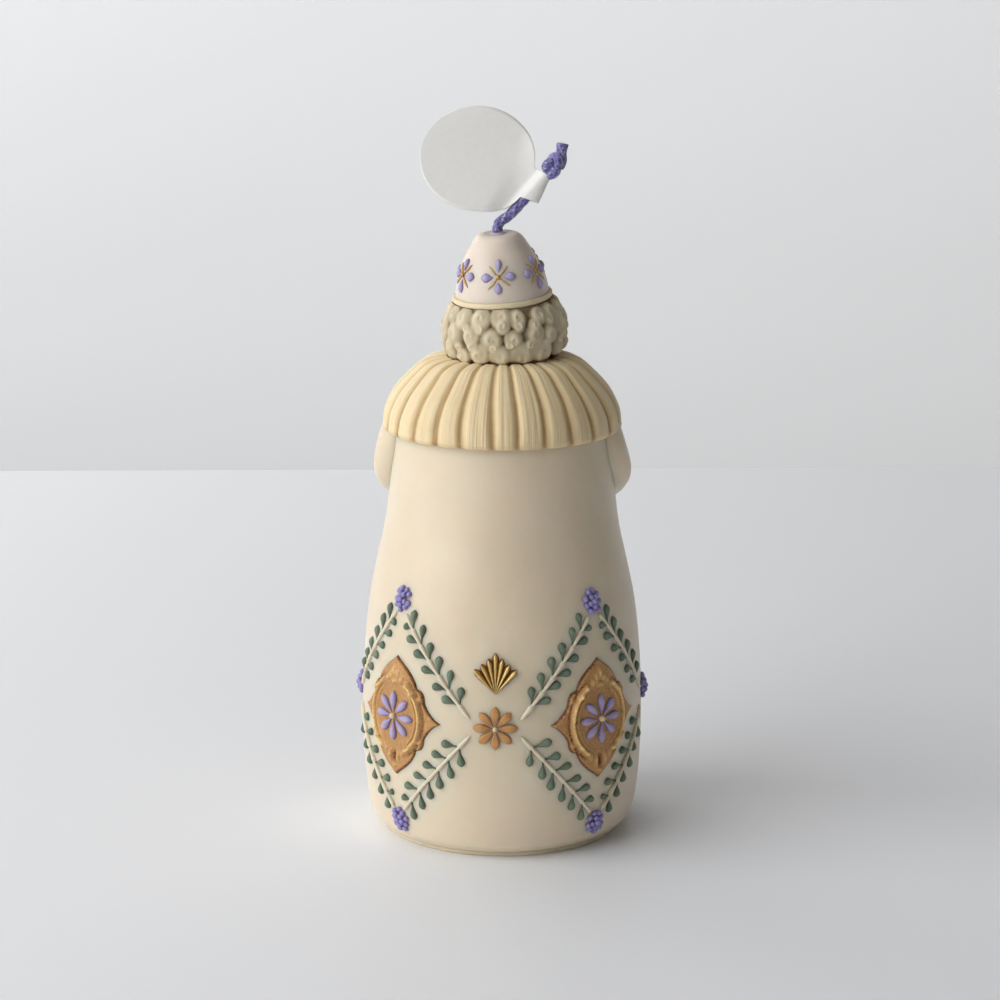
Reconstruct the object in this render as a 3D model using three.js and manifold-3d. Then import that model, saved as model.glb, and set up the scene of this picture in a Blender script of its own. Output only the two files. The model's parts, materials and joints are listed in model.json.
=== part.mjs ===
// A tomte gnome candle: a cast wax figure with applied relief, a knotted wick and a swinging paper tag.
// Millimetres. +Z is up, the face looks towards -Y, and the origin is the middle of the flat base.
import * as THREE from "three";
import { mergeVertices } from "three/addons/utils/BufferGeometryUtils.js";
import Module from "manifold-3d";

const wasm = await Module();
wasm.setup();

// ---- Driving dimensions ----
const GAP = 0.3; // left between pieces that touch

// Base and body: radius and height of the turned profile, from the foot to the shoulder.
const PLATE_RADIUS = 25.2;
const PLATE_HEIGHT = 1;
const BODY_BOTTOM = PLATE_HEIGHT + GAP;
const BODY_PROFILE = [
  [25.9, 1.3],
  [27.4, 2.9],
  [28.4, 6.2],
  [29.1, 12],
  [29.5, 20],
  [29.5, 28],
  [29.2, 36],
  [28.5, 45],
  [27.3, 53],
  [25.6, 60.5],
  [24.2, 67.5],
  [23.4, 75],
  [22.9, 82],
  [21.8, 88.5],
  [18.6, 94.5],
  [13.8, 98],
];
const BODY_TOP = 98.6;

// Wick and its metal foot.
const WICK_RADIUS = 1.2;
const BORE_RADIUS = 2;
const FOOT_RADIUS = 8;
const FOOT_THICKNESS = 0.4;
const FOOT_NECK_RADIUS = 1.9;
const FOOT_NECK_HEIGHT = 5;
const RECESS_RADIUS = 8.6;
const RECESS_TOP = 2.4;

// Hat: the whole hat leans back and to its left about a point on its axis.
const HAT_PIVOT_Z = 114;
const HAT_LEAN_BACK = 4;
const HAT_LEAN_SIDE = 3.7;
const FUR_RADIUS = 13;
const FUR_BORE = 10.2;
const FUR_BOTTOM = 102.2;
const FUR_TOP = 112.6;
const FUR_PROFILE = [
  [11.2, 102.2],
  [12.5, 103.2],
  [12.9, 105.2],
  [13, 107.6],
  [12.7, 109.5],
  [11.8, 111.2],
  [10.9, 112.6],
];
const BAND_INNER = 9.95;
const BAND_OUTER = 10.5;
const BAND_BOTTOM = 112.9;
const BAND_TOP = 114.2;
const DOME_PROFILE = [
  [9.6, 111],
  [9.6, 114.4],
  [9.1, 116.8],
  [8.3, 119.4],
  [7.2, 122],
  [6.2, 123.6],
  [5.4, 124.9],
  [4.7, 125.9],
  [3.7, 126.5],
];
const DOME_TOP = 126.5;

// Head and face.
const HEAD_RADIUS = 9.4;
const HEAD_BOTTOM = BODY_TOP + GAP;
const HEAD_TOP = 110;
const FACE_CENTRE = new THREE.Vector3(0, -8.2, 100.2);
const FACE_RADII = new THREE.Vector3(10.2, 10.4, 7.4);
const NOSE_RADIUS = 3;
const NOSE_CENTRE = new THREE.Vector3(0, -21.9, 100.4);
const MOUSTACHE_HALF = [
  [1.6, -22.9, 95.9],
  [6, -22.9, 94.6],
  [10.6, -21.6, 91.4],
];

// Hair: outer skin of the fluted ring, from the crown to the hem. It is open at the front for the beard.
const HAIR_OUTER = [
  [11.4, 100.9],
  [13.6, 100.7],
  [16.5, 99.7],
  [19.4, 97.2],
  [22.4, 93.9],
  [24.4, 90],
  [24.8, 86.5],
];
const HAIR_INNER = [
  [23.3, 86.5],
  [21.9, 90.4],
  [19.6, 94.2],
  [14.8, 98.2],
  [11.4, 99.2],
];
const HAIR_HALF_ANGLE = 126;
const HAIR_RIBS = 18;
const RIB_DEPTH = 0.9;
const STEPS_PER_RIB = 3;

// Beard: the same skin carried over the chest to a rounded tip.
const BEARD_OUTER = [
  [21.4, 95.2],
  [24, 91.4],
  [25.6, 87],
];
const BEARD_LINING = [86.5, 90.4, 93.2];
const BEARD_TOP_Z = 98.9;
const BEARD_DIP = 2.6; // how far the top edge drops in the middle, under the nose
const BEARD_HALF_ANGLE = 52;
const BEARD_RIBS = 9;
const BEARD_TIP_Z = 72.5;
const BEARD_EDGE_Z = 85.5;
const BEARD_TIP_RADIUS = 26.2;

// Arms: one path from the shoulder to the clasped hands, and where each piece starts and ends on it.
const ARM_PATH = [
  [20.3, 2.5, 86.2],
  [21.9, 1.8, 81.5],
  [22.7, -2.5, 75.9],
  [20.4, -12, 71.8],
  [13.7, -20.4, 69],
  [5, -25.2, 67.4],
  [-2.5, -26.2, 66.8],
];
const ARM_RADIUS = 4.2;
const CUFF_RADIUS = 4.3;
const HAND_RADIUS = 3.6;
const SLEEVE_END = 0.66;
const CUFF_END = 0.73;

// Relief on the body. Angles are measured round the axis from the middle of the back.
const RELIEF_LIFT = 0.45; // keeps the flat undersides clear of the round body
const UNROLLED_RADIUS = 29;
const DIAMONDS = 4;
const WAIST_Z = 29;
const SPRIG_INNER = 35;
const SPRIG_OUTER = 3;
const SPRIG_WAIST_GAP = 1.7;
const SPRIG_TOP_Z = 50.6;
const SPRIG_BOTTOM_Z = 8.6;
const SPRIG_NODES = 6;
const STEM_WIDTH = 0.7;
const LEAF_LENGTH = 4;
const END_LEAF_LENGTH = 2.3;
const LEAF_WIDTH = 1.9;
const LEAF_THICKNESS = 0.6;
const OUTER_LEAF_UPPER = 87;
const INNER_LEAF_UPPER = 166;
const OUTER_LEAF_LOWER = 83;
const INNER_LEAF_LOWER = 190;
const BERRIES_TOP_Z = 53.5;
const BERRIES_BOTTOM_Z = 6.2;
const BERRIES_RADIUS = 2.5;
const MEDALLION_QUARTER = [
  [11.5, 0],
  [7.7, 4.2],
  [7, 6.4],
  [5.4, 7.4],
  [2.5, 10],
  [0, 12.8],
];
const MEDALLION_THICKNESS = 0.9;
const DAISY_RADIUS = 5.2;
const DAISY_PETALS = 8;
const FLOWER_RADIUS = 4.6;
const FAN_Z = 40.5;
const FAN_WIDTH = 9.1;
const FAN_HEIGHT = 8.9;
const FAN_RIBS = 7;

// Free end of the wick, and the tag that swings on its straight stretch.
const WICK_ROUTE = [
  [0.9, 0.83, 126.8],
  [0.9, 0.82, 127.7],
  [0.2, 0.8, 128.8],
  [-1.7, 0.8, 130.2],
  [-4.3, 0.8, 133],
  [-6.9, 0.8, 135.96],
  [-8.75, 0.8, 138.1],
];
const KNOT_CENTRE = [-10.7, 0.8, 140.4];
const KNOT_RADIUS = 2.5;
const TAIL_END = [-12.8, 0.8, 144.4];
const TAG_PIVOT = new THREE.Vector3(-7.2, 0.8, 136.3);
const TAG_AXIS = new THREE.Vector3(-0.658, 0, 0.753).normalize();
const TAG_ROLL = -8; // of the whole tag about the wick
const TAG_TWIST = 9; // of the label out of the wick's line
const TAG_SKEW = 17; // between the label's neck and the square line across the wick
const TAG_RADIUS = 11.8;
const TAG_SQUASH = 0.91; // height of the oval label over its width
const TAG_UPRIGHT = 41; // from the wick's line to the oval's short axis
const TAG_CENTRE = [12.65, -4.2];
const TAG_THICKNESS = 0.4;
const TAG_SLEEVE_OUTER = 2.1;
const TAG_SLEEVE_BORE = 1.6;
const TAG_SLEEVE_LENGTH = 6;
const TAG_NECK_LENGTH = 4;

// ---- Materials ----
const wax = (color, roughness = 0.5) => new THREE.MeshStandardMaterial({ color, roughness, metalness: 0 });
const CREAM_WAX = wax(0xf0e4cb, 0.45);
const HAIR_WAX = wax(0xead2a0);
const FUR_WAX = wax(0xb9ad90, 0.8);
const BAND_WAX = wax(0xeed9a6);
const HAT_WAX = wax(0xe6ddd0, 0.45);
const SKIN_WAX = wax(0xe9c6a4);
const OCHRE_WAX = wax(0xb98442, 0.6);
const ROSE_OCHRE_WAX = wax(0xb07f50, 0.6);
const LAVENDER_WAX = wax(0x9a8cc8);
const LEAF_WAX = wax(0x5f7868, 0.6);
const GOLD_PAINT = new THREE.MeshStandardMaterial({ color: 0x9a7434, roughness: 0.35, metalness: 0.9 });
const TINNED_STEEL = new THREE.MeshStandardMaterial({ color: 0xb8bbbd, roughness: 0.35, metalness: 1 });
const WICK_COTTON = wax(0x7d7ab0, 0.7);
const TAG_PAPER = wax(0xece9e2, 0.85);

// ---- Solid helpers ----
const radians = THREE.MathUtils.degToRad;
const point = ([x, y, z]) => new THREE.Vector3(x, y, z);

function toSolid(geometry) {
  const bare = geometry.clone();
  bare.deleteAttribute("normal");
  bare.deleteAttribute("uv");
  const merged = mergeVertices(bare, 1e-4);
  const vertProperties = merged.attributes.position.array;
  const triVerts = new Uint32Array(merged.index.array);
  return new wasm.Manifold(new wasm.Mesh({ numProp: 3, vertProperties, triVerts }));
}

function toGeometry(solid) {
  const mesh = solid.getMesh();
  const geometry = new THREE.BufferGeometry();
  geometry.setAttribute("position", new THREE.BufferAttribute(new Float32Array(mesh.vertProperties), 3));
  geometry.setIndex(new THREE.BufferAttribute(new Uint32Array(mesh.triVerts), 1));
  geometry.computeVertexNormals();
  return geometry;
}

function cut(geometry, ...tools) {
  return toGeometry(tools.reduce((left, tool) => left.subtract(toSolid(tool)), toSolid(geometry)));
}

function join(geometries) {
  return toGeometry(geometries.map(toSolid).reduce((sum, solid) => sum.add(solid)));
}

// A body turned about the Z axis from [radius, height] pairs that run upwards.
function turned(pairs, segments = 32) {
  const points = pairs.map(([radius, height]) => new THREE.Vector2(radius, height));
  return new THREE.LatheGeometry(points, segments).rotateX(Math.PI / 2);
}

function cylinder(radius, bottom, top, segments = 28) {
  const height = top - bottom;
  const shape = new THREE.CylinderGeometry(radius, radius, height, segments);
  return shape.rotateX(Math.PI / 2).translate(0, 0, bottom + height / 2);
}

// A ring turned about the Z axis from a closed [radius, height] section.
function turnedRing(section, segments = 28) {
  return turned([...section, section[0]], segments);
}

// A closed surface through rings of equal point counts, with flat triangulated ends.
function loft(rings) {
  const count = rings[0].length;
  const positions = rings.flat().flatMap((p) => [p.x, p.y, p.z]);
  const faces = [];
  for (let ring = 0; ring < rings.length - 1; ring++) {
    for (let i = 0; i < count; i++) {
      const next = (i + 1) % count;
      const low = ring * count;
      const high = low + count;
      faces.push(low + i, low + next, high + next);
      faces.push(low + i, high + next, high + i);
    }
  }
  const flat = flatten(rings[0]);
  const last = (rings.length - 1) * count;
  for (const [a, b, c] of THREE.ShapeUtils.triangulateShape(flat, [])) {
    faces.push(c, b, a);
    faces.push(last + a, last + b, last + c);
  }
  const geometry = new THREE.BufferGeometry();
  geometry.setAttribute("position", new THREE.Float32BufferAttribute(positions, 3));
  geometry.setIndex(faces);
  return facingOut(geometry);
}

// A ring's points in a plane of their own, for triangulating its end.
function flatten(ring) {
  const across = ring[1].clone().sub(ring[0]).normalize();
  const normal = new THREE.Vector3();
  ring.forEach((p, i) => normal.add(p.clone().cross(ring[(i + 1) % ring.length])));
  normal.normalize();
  const up = normal.clone().cross(across);
  return ring.map((p) => new THREE.Vector2(p.dot(across), p.dot(up)));
}

function facingOut(geometry) {
  const position = geometry.attributes.position;
  const index = geometry.index.array;
  const corner = (i) => new THREE.Vector3().fromBufferAttribute(position, index[i]);
  let volume = 0;
  for (let i = 0; i < index.length; i += 3) {
    volume += corner(i).dot(corner(i + 1).cross(corner(i + 2)));
  }
  if (volume < 0) {
    for (let i = 0; i < index.length; i += 3) {
      [index[i + 1], index[i + 2]] = [index[i + 2], index[i + 1]];
    }
  }
  return geometry;
}

// A tube along a curve between two of its parameters, with a radius at each step and rounded ends.
function taperedTube(curve, start, end, steps, radiusAt, sides = 10) {
  const rings = [];
  for (let i = 0; i <= steps; i++) {
    const t = start + ((end - start) * i) / steps;
    const centre = curve.getPoint(t);
    const along = curve.getTangent(t);
    const across = new THREE.Vector3(0, 0, 1).cross(along).normalize();
    const up = along.clone().cross(across);
    const ring = [];
    for (let k = 0; k < sides; k++) {
      const turn = (2 * Math.PI * k) / sides;
      const arm = across.clone().multiplyScalar(Math.cos(turn)).addScaledVector(up, Math.sin(turn));
      ring.push(centre.clone().addScaledVector(arm, radiusAt(i / steps)));
    }
    rings.push(ring);
  }
  return loft(rings);
}

// ---- Body surface ----
const bodySpline = new THREE.SplineCurve(BODY_PROFILE.map(([r, z]) => new THREE.Vector2(r, z)));
const bodySkin = bodySpline.getPoints(160);

function bodyRadius(z) {
  const above = bodySkin.findIndex((p) => p.y >= z);
  if (above <= 0) return bodySkin[0].x;
  const low = bodySkin[above - 1];
  const high = bodySkin[above];
  return THREE.MathUtils.mapLinear(z, low.y, high.y, low.x, high.x);
}

// Lays a flat relief on the body: x runs round it, y up it and z away from it.
function wrap(geometry, angle, height, lift = RELIEF_LIFT) {
  const position = geometry.attributes.position;
  for (let i = 0; i < position.count; i++) {
    const turn = radians(angle) + position.getX(i) / UNROLLED_RADIUS;
    const z = height + position.getY(i);
    const radius = bodyRadius(z) + lift + position.getZ(i);
    position.setXYZ(i, -radius * Math.sin(turn), radius * Math.cos(turn), z);
  }
  return geometry;
}

// The body grown by the gap, which cuts whatever lies against it.
function bodyClearance() {
  const skin = bodySpline.getPoints(20).map((p) => [p.x + GAP, p.y]);
  const top = BODY_TOP + GAP / 2;
  return turned([[0, 0], [skin[0][0], 0], ...skin, [skin.at(-1)[0], top], [0, top]]);
}

// ---- Base and body ----
function basePlate() {
  const edge = 0.3;
  return turned([
    [0, 0],
    [PLATE_RADIUS - edge, 0],
    [PLATE_RADIUS, edge],
    [PLATE_RADIUS, PLATE_HEIGHT],
    [0, PLATE_HEIGHT],
  ]);
}

function body() {
  const skin = bodySpline.getPoints(14).map((p) => [p.x, p.y]);
  const shell = turned([[0, BODY_BOTTOM], ...skin, [skin.at(-1)[0] - 3, BODY_TOP], [0, BODY_TOP]]);
  const bore = cylinder(BORE_RADIUS, 0, BODY_TOP + 1, 12);
  const recess = cylinder(RECESS_RADIUS, 0, RECESS_TOP, 32);
  return cut(shell, recess, bore, cylinder(FOOT_NECK_RADIUS + GAP, 0, RECESS_TOP + FOOT_NECK_HEIGHT, 16));
}

function wickFoot() {
  const bottom = PLATE_HEIGHT + GAP;
  const disc = cylinder(FOOT_RADIUS, bottom, bottom + FOOT_THICKNESS);
  const neck = cylinder(FOOT_NECK_RADIUS, bottom + FOOT_THICKNESS / 2, bottom + FOOT_NECK_HEIGHT, 16);
  const crimp = cylinder(WICK_RADIUS + GAP, 0, bottom + FOOT_NECK_HEIGHT + 1, 12);
  return cut(join([disc, neck]), crimp);
}

// ---- Hat, built upright on the Z axis; its group leans it ----
function furTrim() {
  return turnedRing([[FUR_BORE, FUR_BOTTOM + 0.6], ...FUR_PROFILE, [FUR_BORE, FUR_TOP]]);
}

function hatBand() {
  return turnedRing([
    [BAND_INNER, BAND_BOTTOM],
    [BAND_OUTER, BAND_BOTTOM + 0.2],
    [BAND_OUTER, BAND_TOP - 0.3],
    [BAND_INNER, BAND_TOP],
  ]);
}

function hatDome() {
  const bottom = DOME_PROFILE[0][1];
  const shell = turned([[0, bottom], ...DOME_PROFILE, [0, DOME_TOP]]);
  return cut(shell, cylinder(BORE_RADIUS, bottom - 1, DOME_TOP + 1, 12));
}

const hat = new THREE.Group();
hat.position.z = HAT_PIVOT_Z;
hat.rotation.set(-radians(HAT_LEAN_BACK), radians(HAT_LEAN_SIDE), 0);
hat.updateMatrixWorld();

// A point given in the upright hat's frame, where the leaning hat carries it.
function onHat(x, y, z) {
  return new THREE.Vector3(x, y, z - HAT_PIVOT_Z).applyMatrix4(hat.matrixWorld);
}

function hatClearance() {
  const grown = cylinder(FUR_RADIUS + GAP, FUR_BOTTOM - GAP, BAND_TOP);
  const core = cylinder(FUR_BORE - GAP, FUR_BOTTOM - 2, BAND_TOP + 1);
  return cut(grown, core).translate(0, 0, -HAT_PIVOT_Z).applyMatrix4(hat.matrixWorld);
}

// ---- Head and face ----
function faceBulge(growth = 0) {
  const ball = new THREE.SphereGeometry(1, 20, 14).rotateX(Math.PI / 2);
  const radii = FACE_RADII.clone().addScalar(growth);
  return ball.scale(radii.x, radii.y, radii.z).translate(FACE_CENTRE.x, FACE_CENTRE.y, FACE_CENTRE.z);
}

function head() {
  const skull = cylinder(HEAD_RADIUS, HEAD_BOTTOM, HEAD_TOP);
  const bore = cylinder(BORE_RADIUS, 0, HEAD_TOP + 1, 12);
  return cut(join([skull, faceBulge()]), hatClearance(), bodyClearance(), bore);
}

function nose() {
  const ball = new THREE.SphereGeometry(NOSE_RADIUS, 12, 8);
  return ball.scale(1, 0.95, 0.9).translate(NOSE_CENTRE.x, NOSE_CENTRE.y, NOSE_CENTRE.z);
}

function moustacheRadius(t) {
  const parting = 1 - 0.3 * Math.exp(-Math.pow((t - 0.5) / 0.08, 2));
  return 0.4 + 1.6 * parting * Math.pow(Math.sin(Math.PI * t), 0.6);
}

function moustache() {
  const half = MOUSTACHE_HALF.map(point);
  const mirrored = half.map((p) => new THREE.Vector3(-p.x, p.y, p.z)).reverse();
  const curve = new THREE.CatmullRomCurve3([...mirrored, ...half]);
  const tube = taperedTube(curve, 0, 1, 10, moustacheRadius, 8);
  return cut(tube, beardSolid(GAP));
}

// ---- Hair and beard: fluted skins swept round the axis ----
function sweptSkin(sectionAt, firstAngle, lastAngle, steps) {
  const rings = [];
  for (let i = 0; i <= steps; i++) {
    const angle = THREE.MathUtils.lerp(firstAngle, lastAngle, i / steps);
    const turn = radians(angle);
    const across = -Math.sin(turn);
    const back = Math.cos(turn);
    rings.push(sectionAt(angle).map(([r, z]) => new THREE.Vector3(r * across, r * back, z)));
  }
  return loft(rings);
}

// How far a rib stands out at this angle: broad crests and narrow grooves.
function rib(angle, halfAngle, ribs) {
  const phase = ((angle + halfAngle) / (2 * halfAngle)) * ribs;
  return RIB_DEPTH * (Math.pow(Math.abs(Math.sin(Math.PI * phase)), 0.6) - 1);
}

function hair() {
  const last = HAIR_OUTER.length - 1;
  const sectionAt = (angle) => {
    const flute = rib(angle, HAIR_HALF_ANGLE, HAIR_RIBS);
    const outer = HAIR_OUTER.map(([r, z], i) => [r + (flute * i) / last, z]);
    return [...outer, ...HAIR_INNER];
  };
  const skin = sweptSkin(sectionAt, -HAIR_HALF_ANGLE, HAIR_HALF_ANGLE, HAIR_RIBS * STEPS_PER_RIB);
  return cut(skin, faceBulge(GAP));
}

function beardSolid(growth = 0) {
  const sectionAt = (angle) => {
    const side = Math.abs(angle - 180) / BEARD_HALF_ANGLE;
    const hem = THREE.MathUtils.lerp(BEARD_TIP_Z, BEARD_EDGE_Z, Math.pow(side, 1.7));
    const flute = rib(angle - 180, BEARD_HALF_ANGLE, BEARD_RIBS);
    const tip = THREE.MathUtils.lerp(BEARD_TIP_RADIUS, BEARD_OUTER.at(-1)[0], Math.min(1, side));
    const middle = (hem + BEARD_OUTER.at(-1)[1]) / 2;
    const top = BEARD_TOP_Z - BEARD_DIP * Math.pow(Math.cos((Math.PI / 2) * Math.min(1, side)), 2);
    const crown = bodyRadius(top - 0.9) + 2 * GAP;
    const roll = [[crown + 0.8, top], [crown + 2.4, top - 0.8]];
    const outer = [...roll, ...BEARD_OUTER, [tip + 0.3, middle], [tip - 0.8, hem]];
    const skin = outer.map(([r, z], i) => [r + growth + (flute * i) / (outer.length - 1), z]);
    const lining = [hem, middle, ...BEARD_LINING].map((z) => [bodyRadius(z) + 2 * GAP, z]);
    return [...skin, ...lining, [crown, top - 0.9]];
  };
  return sweptSkin(sectionAt, 180 - BEARD_HALF_ANGLE, 180 + BEARD_HALF_ANGLE, BEARD_RIBS * STEPS_PER_RIB);
}

function beard() {
  return cut(beardSolid(), faceBulge(GAP));
}

// ---- Arms ----
const armCurve = new THREE.CatmullRomCurve3(ARM_PATH.map(point));

function armPiece(side, start, end, steps, radiusAt) {
  const roof = new THREE.BoxGeometry(120, 120, 20).translate(0, 0, HAIR_OUTER.at(-1)[1] - GAP + 10);
  const piece = cut(taperedTube(armCurve, start, end, steps, radiusAt), bodyClearance(), roof);
  return side > 0 ? piece : facingOut(piece.scale(-1, 1, 1));
}

const sleeve = (side) => armPiece(side, 0, SLEEVE_END, 12, () => ARM_RADIUS);
const cuff = (side) => armPiece(side, SLEEVE_END + 0.012, CUFF_END, 3, () => CUFF_RADIUS);

function mitten(side) {
  const fullness = (t) => HAND_RADIUS * Math.sqrt(Math.max(0.1, 1 - Math.pow(Math.abs(1.5 * t - 0.75), 3)));
  const start = CUFF_END + 0.012;
  const piece = armPiece(1, start, 1, 8, fullness);
  const halfSpace = new THREE.BoxGeometry(40, 80, 80).translate(-20 + GAP / 2, -25, 66);
  const apart = cut(piece, halfSpace);
  return side > 0 ? apart : facingOut(apart.scale(-1, 1, 1));
}

// ---- Relief pieces, drawn flat with x to the right, y up and z out ----
// A plaque from an outline round the origin: rings of points, a back, a rim and a crowned face.
function plaque(outline, thickness, crown = 0, rings = 1) {
  const count = outline.length;
  const positions = [];
  const faces = [];
  for (const side of [0, 1]) {
    const first = positions.length / 3;
    positions.push(0, 0, side * (thickness + crown));
    for (let ring = 1; ring <= rings; ring++) {
      const t = ring / rings;
      const z = side * (thickness + crown * (1 - t * t));
      outline.forEach((p) => positions.push(p.x * t, p.y * t, z));
    }
    for (let i = 0; i < count; i++) {
      const next = (i + 1) % count;
      faces.push(...turnedFace(first, first + 1 + i, first + 1 + next, side));
      for (let ring = 1; ring < rings; ring++) {
        const inner = first + 1 + (ring - 1) * count;
        const outer = inner + count;
        faces.push(...turnedFace(inner + i, outer + i, outer + next, side));
        faces.push(...turnedFace(inner + i, outer + next, inner + next, side));
      }
    }
  }
  const half = positions.length / 6;
  const rim = 1 + (rings - 1) * count;
  for (let i = 0; i < count; i++) {
    const next = (i + 1) % count;
    faces.push(rim + i, rim + next, half + rim + next);
    faces.push(rim + i, half + rim + next, half + rim + i);
  }
  const geometry = new THREE.BufferGeometry();
  geometry.setAttribute("position", new THREE.Float32BufferAttribute(positions, 3));
  geometry.setIndex(faces);
  return geometry;
}

const turnedFace = (a, b, c, side) => (side ? [a, b, c] : [a, c, b]);

function medallionOutline() {
  const right = MEDALLION_QUARTER;
  const upper = [...right, ...right.slice(0, -1).reverse().map(([x, y]) => [-x, y])];
  const lower = upper.slice(1, -1).reverse().map(([x, y]) => [x, -y]);
  return [...upper, ...lower].map(([x, y]) => new THREE.Vector2(x, y));
}

function petalOutline(petals, radius, waist) {
  const perPetal = [[-0.3, 0.86], [0, 1], [0.3, 0.86], [0.5, waist]];
  const outline = [];
  for (let k = 0; k < petals; k++) {
    for (const [offset, reach] of perPetal) {
      const turn = ((k + offset) * 2 * Math.PI) / petals;
      outline.push(new THREE.Vector2(Math.cos(turn), Math.sin(turn)).multiplyScalar(radius * reach));
    }
  }
  return outline;
}

function berryOutline() {
  const bumps = 8;
  return Array.from({ length: 2 * bumps }, (_, i) => {
    const turn = (Math.PI * i) / bumps;
    const reach = BERRIES_RADIUS * (i % 2 ? 0.86 : 1);
    return new THREE.Vector2(reach * Math.cos(turn), 1.15 * reach * Math.sin(turn));
  });
}

function fanOutline() {
  const foot = -FAN_HEIGHT / 2;
  const outline = [new THREE.Vector2(0, foot)];
  for (let i = 0; i <= 2 * FAN_RIBS; i++) {
    const turn = radians(THREE.MathUtils.mapLinear(i, 0, 2 * FAN_RIBS, 42, 138));
    const reach = FAN_HEIGHT * (i % 2 ? 1 : 0.9) * (1 - 0.22 * Math.abs(Math.cos(turn)));
    const x = (reach * Math.cos(turn) * FAN_WIDTH) / 10.4;
    outline.push(new THREE.Vector2(x, foot + reach * Math.sin(turn)));
  }
  return outline;
}

// The outline of one leaf, from the near side of its stalk round the tip to the far side.
function leafOutline(node, direction, length = LEAF_LENGTH) {
  const half = [[0.35, 0.16], [0.6 * length, LEAF_WIDTH / 2], [length, LEAF_WIDTH / 4]];
  const round = [...half.map(([u, v]) => [u, -v]), ...half.reverse()];
  const stalk = new THREE.Vector2();
  return round.map(([u, v]) => new THREE.Vector2(u, v).rotateAround(stalk, direction).add(node));
}

// A sprig of one quarter of a diamond: one outline that goes up one side of the stem, leaf by leaf,
// and down the other. across and up are +1 or -1: which way the sprig runs from the waist.
function sprig(across, up, diamondAngle) {
  const degree = (UNROLLED_RADIUS * Math.PI) / 180;
  const start = new THREE.Vector2(SPRIG_INNER * degree, SPRIG_WAIST_GAP);
  const rise = up > 0 ? SPRIG_TOP_Z - WAIST_Z : WAIST_Z - SPRIG_BOTTOM_Z;
  const end = new THREE.Vector2(SPRIG_OUTER * degree, rise);
  const along = end.clone().sub(start).normalize();
  const beside = new THREE.Vector2(along.y, -along.x).multiplyScalar(STEM_WIDTH / 2);
  const nodeAt = (i) => start.clone().lerp(end, (i + 1) / (SPRIG_NODES + 1));
  const nodes = Array.from({ length: SPRIG_NODES }, (_, i) => nodeAt(i));
  const outerLeaf = radians(up > 0 ? OUTER_LEAF_UPPER : OUTER_LEAF_LOWER);
  const innerLeaf = radians(up > 0 ? INNER_LEAF_UPPER : INNER_LEAF_LOWER);
  const outerSide = nodes.flatMap((node) => leafOutline(node.clone().add(beside), outerLeaf));
  const innerSide = nodes.reverse().flatMap((node, i) =>
    leafOutline(node.clone().sub(beside), innerLeaf, i === 0 ? END_LEAF_LENGTH : LEAF_LENGTH),
  );
  const outline = [
    start.clone().add(beside),
    ...outerSide,
    end.clone().add(beside),
    end.clone().sub(beside),
    ...innerSide,
    start.clone().sub(beside),
  ];
  const shape = new THREE.Shape(outline.map((p) => new THREE.Vector2(p.x * across, p.y * up)));
  const blank = new THREE.ExtrudeGeometry(shape, { depth: LEAF_THICKNESS, bevelEnabled: false });
  return wrap(blank, diamondAngle, WAIST_Z);
}

// ---- Wick and tag ----
function roundRope(points, steps) {
  const sides = 8;
  const section = new THREE.Shape();
  for (let i = 0; i < sides; i++) {
    const turn = (2 * Math.PI * i) / sides;
    section[i ? "lineTo" : "moveTo"](WICK_RADIUS * Math.cos(turn), WICK_RADIUS * Math.sin(turn));
  }
  const extrudePath = new THREE.CatmullRomCurve3(points);
  return new THREE.ExtrudeGeometry(section, { steps, extrudePath, bevelEnabled: false });
}

function wickCore() {
  const straight = [BODY_BOTTOM + FOOT_THICKNESS + GAP, 60, 111];
  const line = straight.map((z) => new THREE.Vector3(0, 0, z));
  return roundRope([...line, onHat(0, 0, DOME_TOP - 0.1)], 12);
}

const wickFreeEnd = () => roundRope(WICK_ROUTE.map(point), 8);

function wickKnot() {
  const ball = new THREE.SphereGeometry(KNOT_RADIUS, 12, 8).translate(...KNOT_CENTRE);
  const tail = roundRope([point(KNOT_CENTRE), point(TAIL_END)], 2);
  return join([ball, tail]);
}

// The tag in its own frame: z along the wick, x towards the disc, y across the paper. The bore runs on past
// the sleeve, to keep the label clear of the wick.
function paperTag() {
  const [out, along] = TAG_CENTRE;
  const disc = new THREE.CylinderGeometry(TAG_RADIUS, TAG_RADIUS, TAG_THICKNESS, 40);
  disc.scale(1, 1, TAG_SQUASH).rotateY(radians(TAG_UPRIGHT));
  disc.translate(out, 0, along).rotateX(radians(TAG_TWIST));
  const neck = new THREE.BoxGeometry(TAG_NECK_LENGTH, TAG_THICKNESS, TAG_SLEEVE_LENGTH);
  neck.translate(TAG_SLEEVE_BORE - GAP / 3 + TAG_NECK_LENGTH / 2, 0, 0);
  neck.rotateY(radians(TAG_SKEW)).rotateX(radians(TAG_TWIST));
  const half = TAG_SLEEVE_LENGTH / 2;
  const fold = cylinder(TAG_SLEEVE_OUTER, -half, half, 20);
  return cut(join([disc, neck, fold]), cylinder(TAG_SLEEVE_BORE, -3 * half, 3 * half, 20));
}

// ---- Assembly ----
const gnome = new THREE.Group();

function add(name, geometry, material, parent = gnome) {
  const mesh = new THREE.Mesh(geometry, material);
  mesh.name = name;
  parent.add(mesh);
  return mesh;
}

add("base_plate", basePlate(), CREAM_WAX);
add("body", body(), CREAM_WAX);
add("wick_sustainer", wickFoot(), TINNED_STEEL);
add("head", head(), SKIN_WAX);
add("nose", nose(), SKIN_WAX);
add("moustache", moustache(), HAIR_WAX);
add("beard", beard(), HAIR_WAX);
add("hair", hair(), HAIR_WAX);

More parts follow.
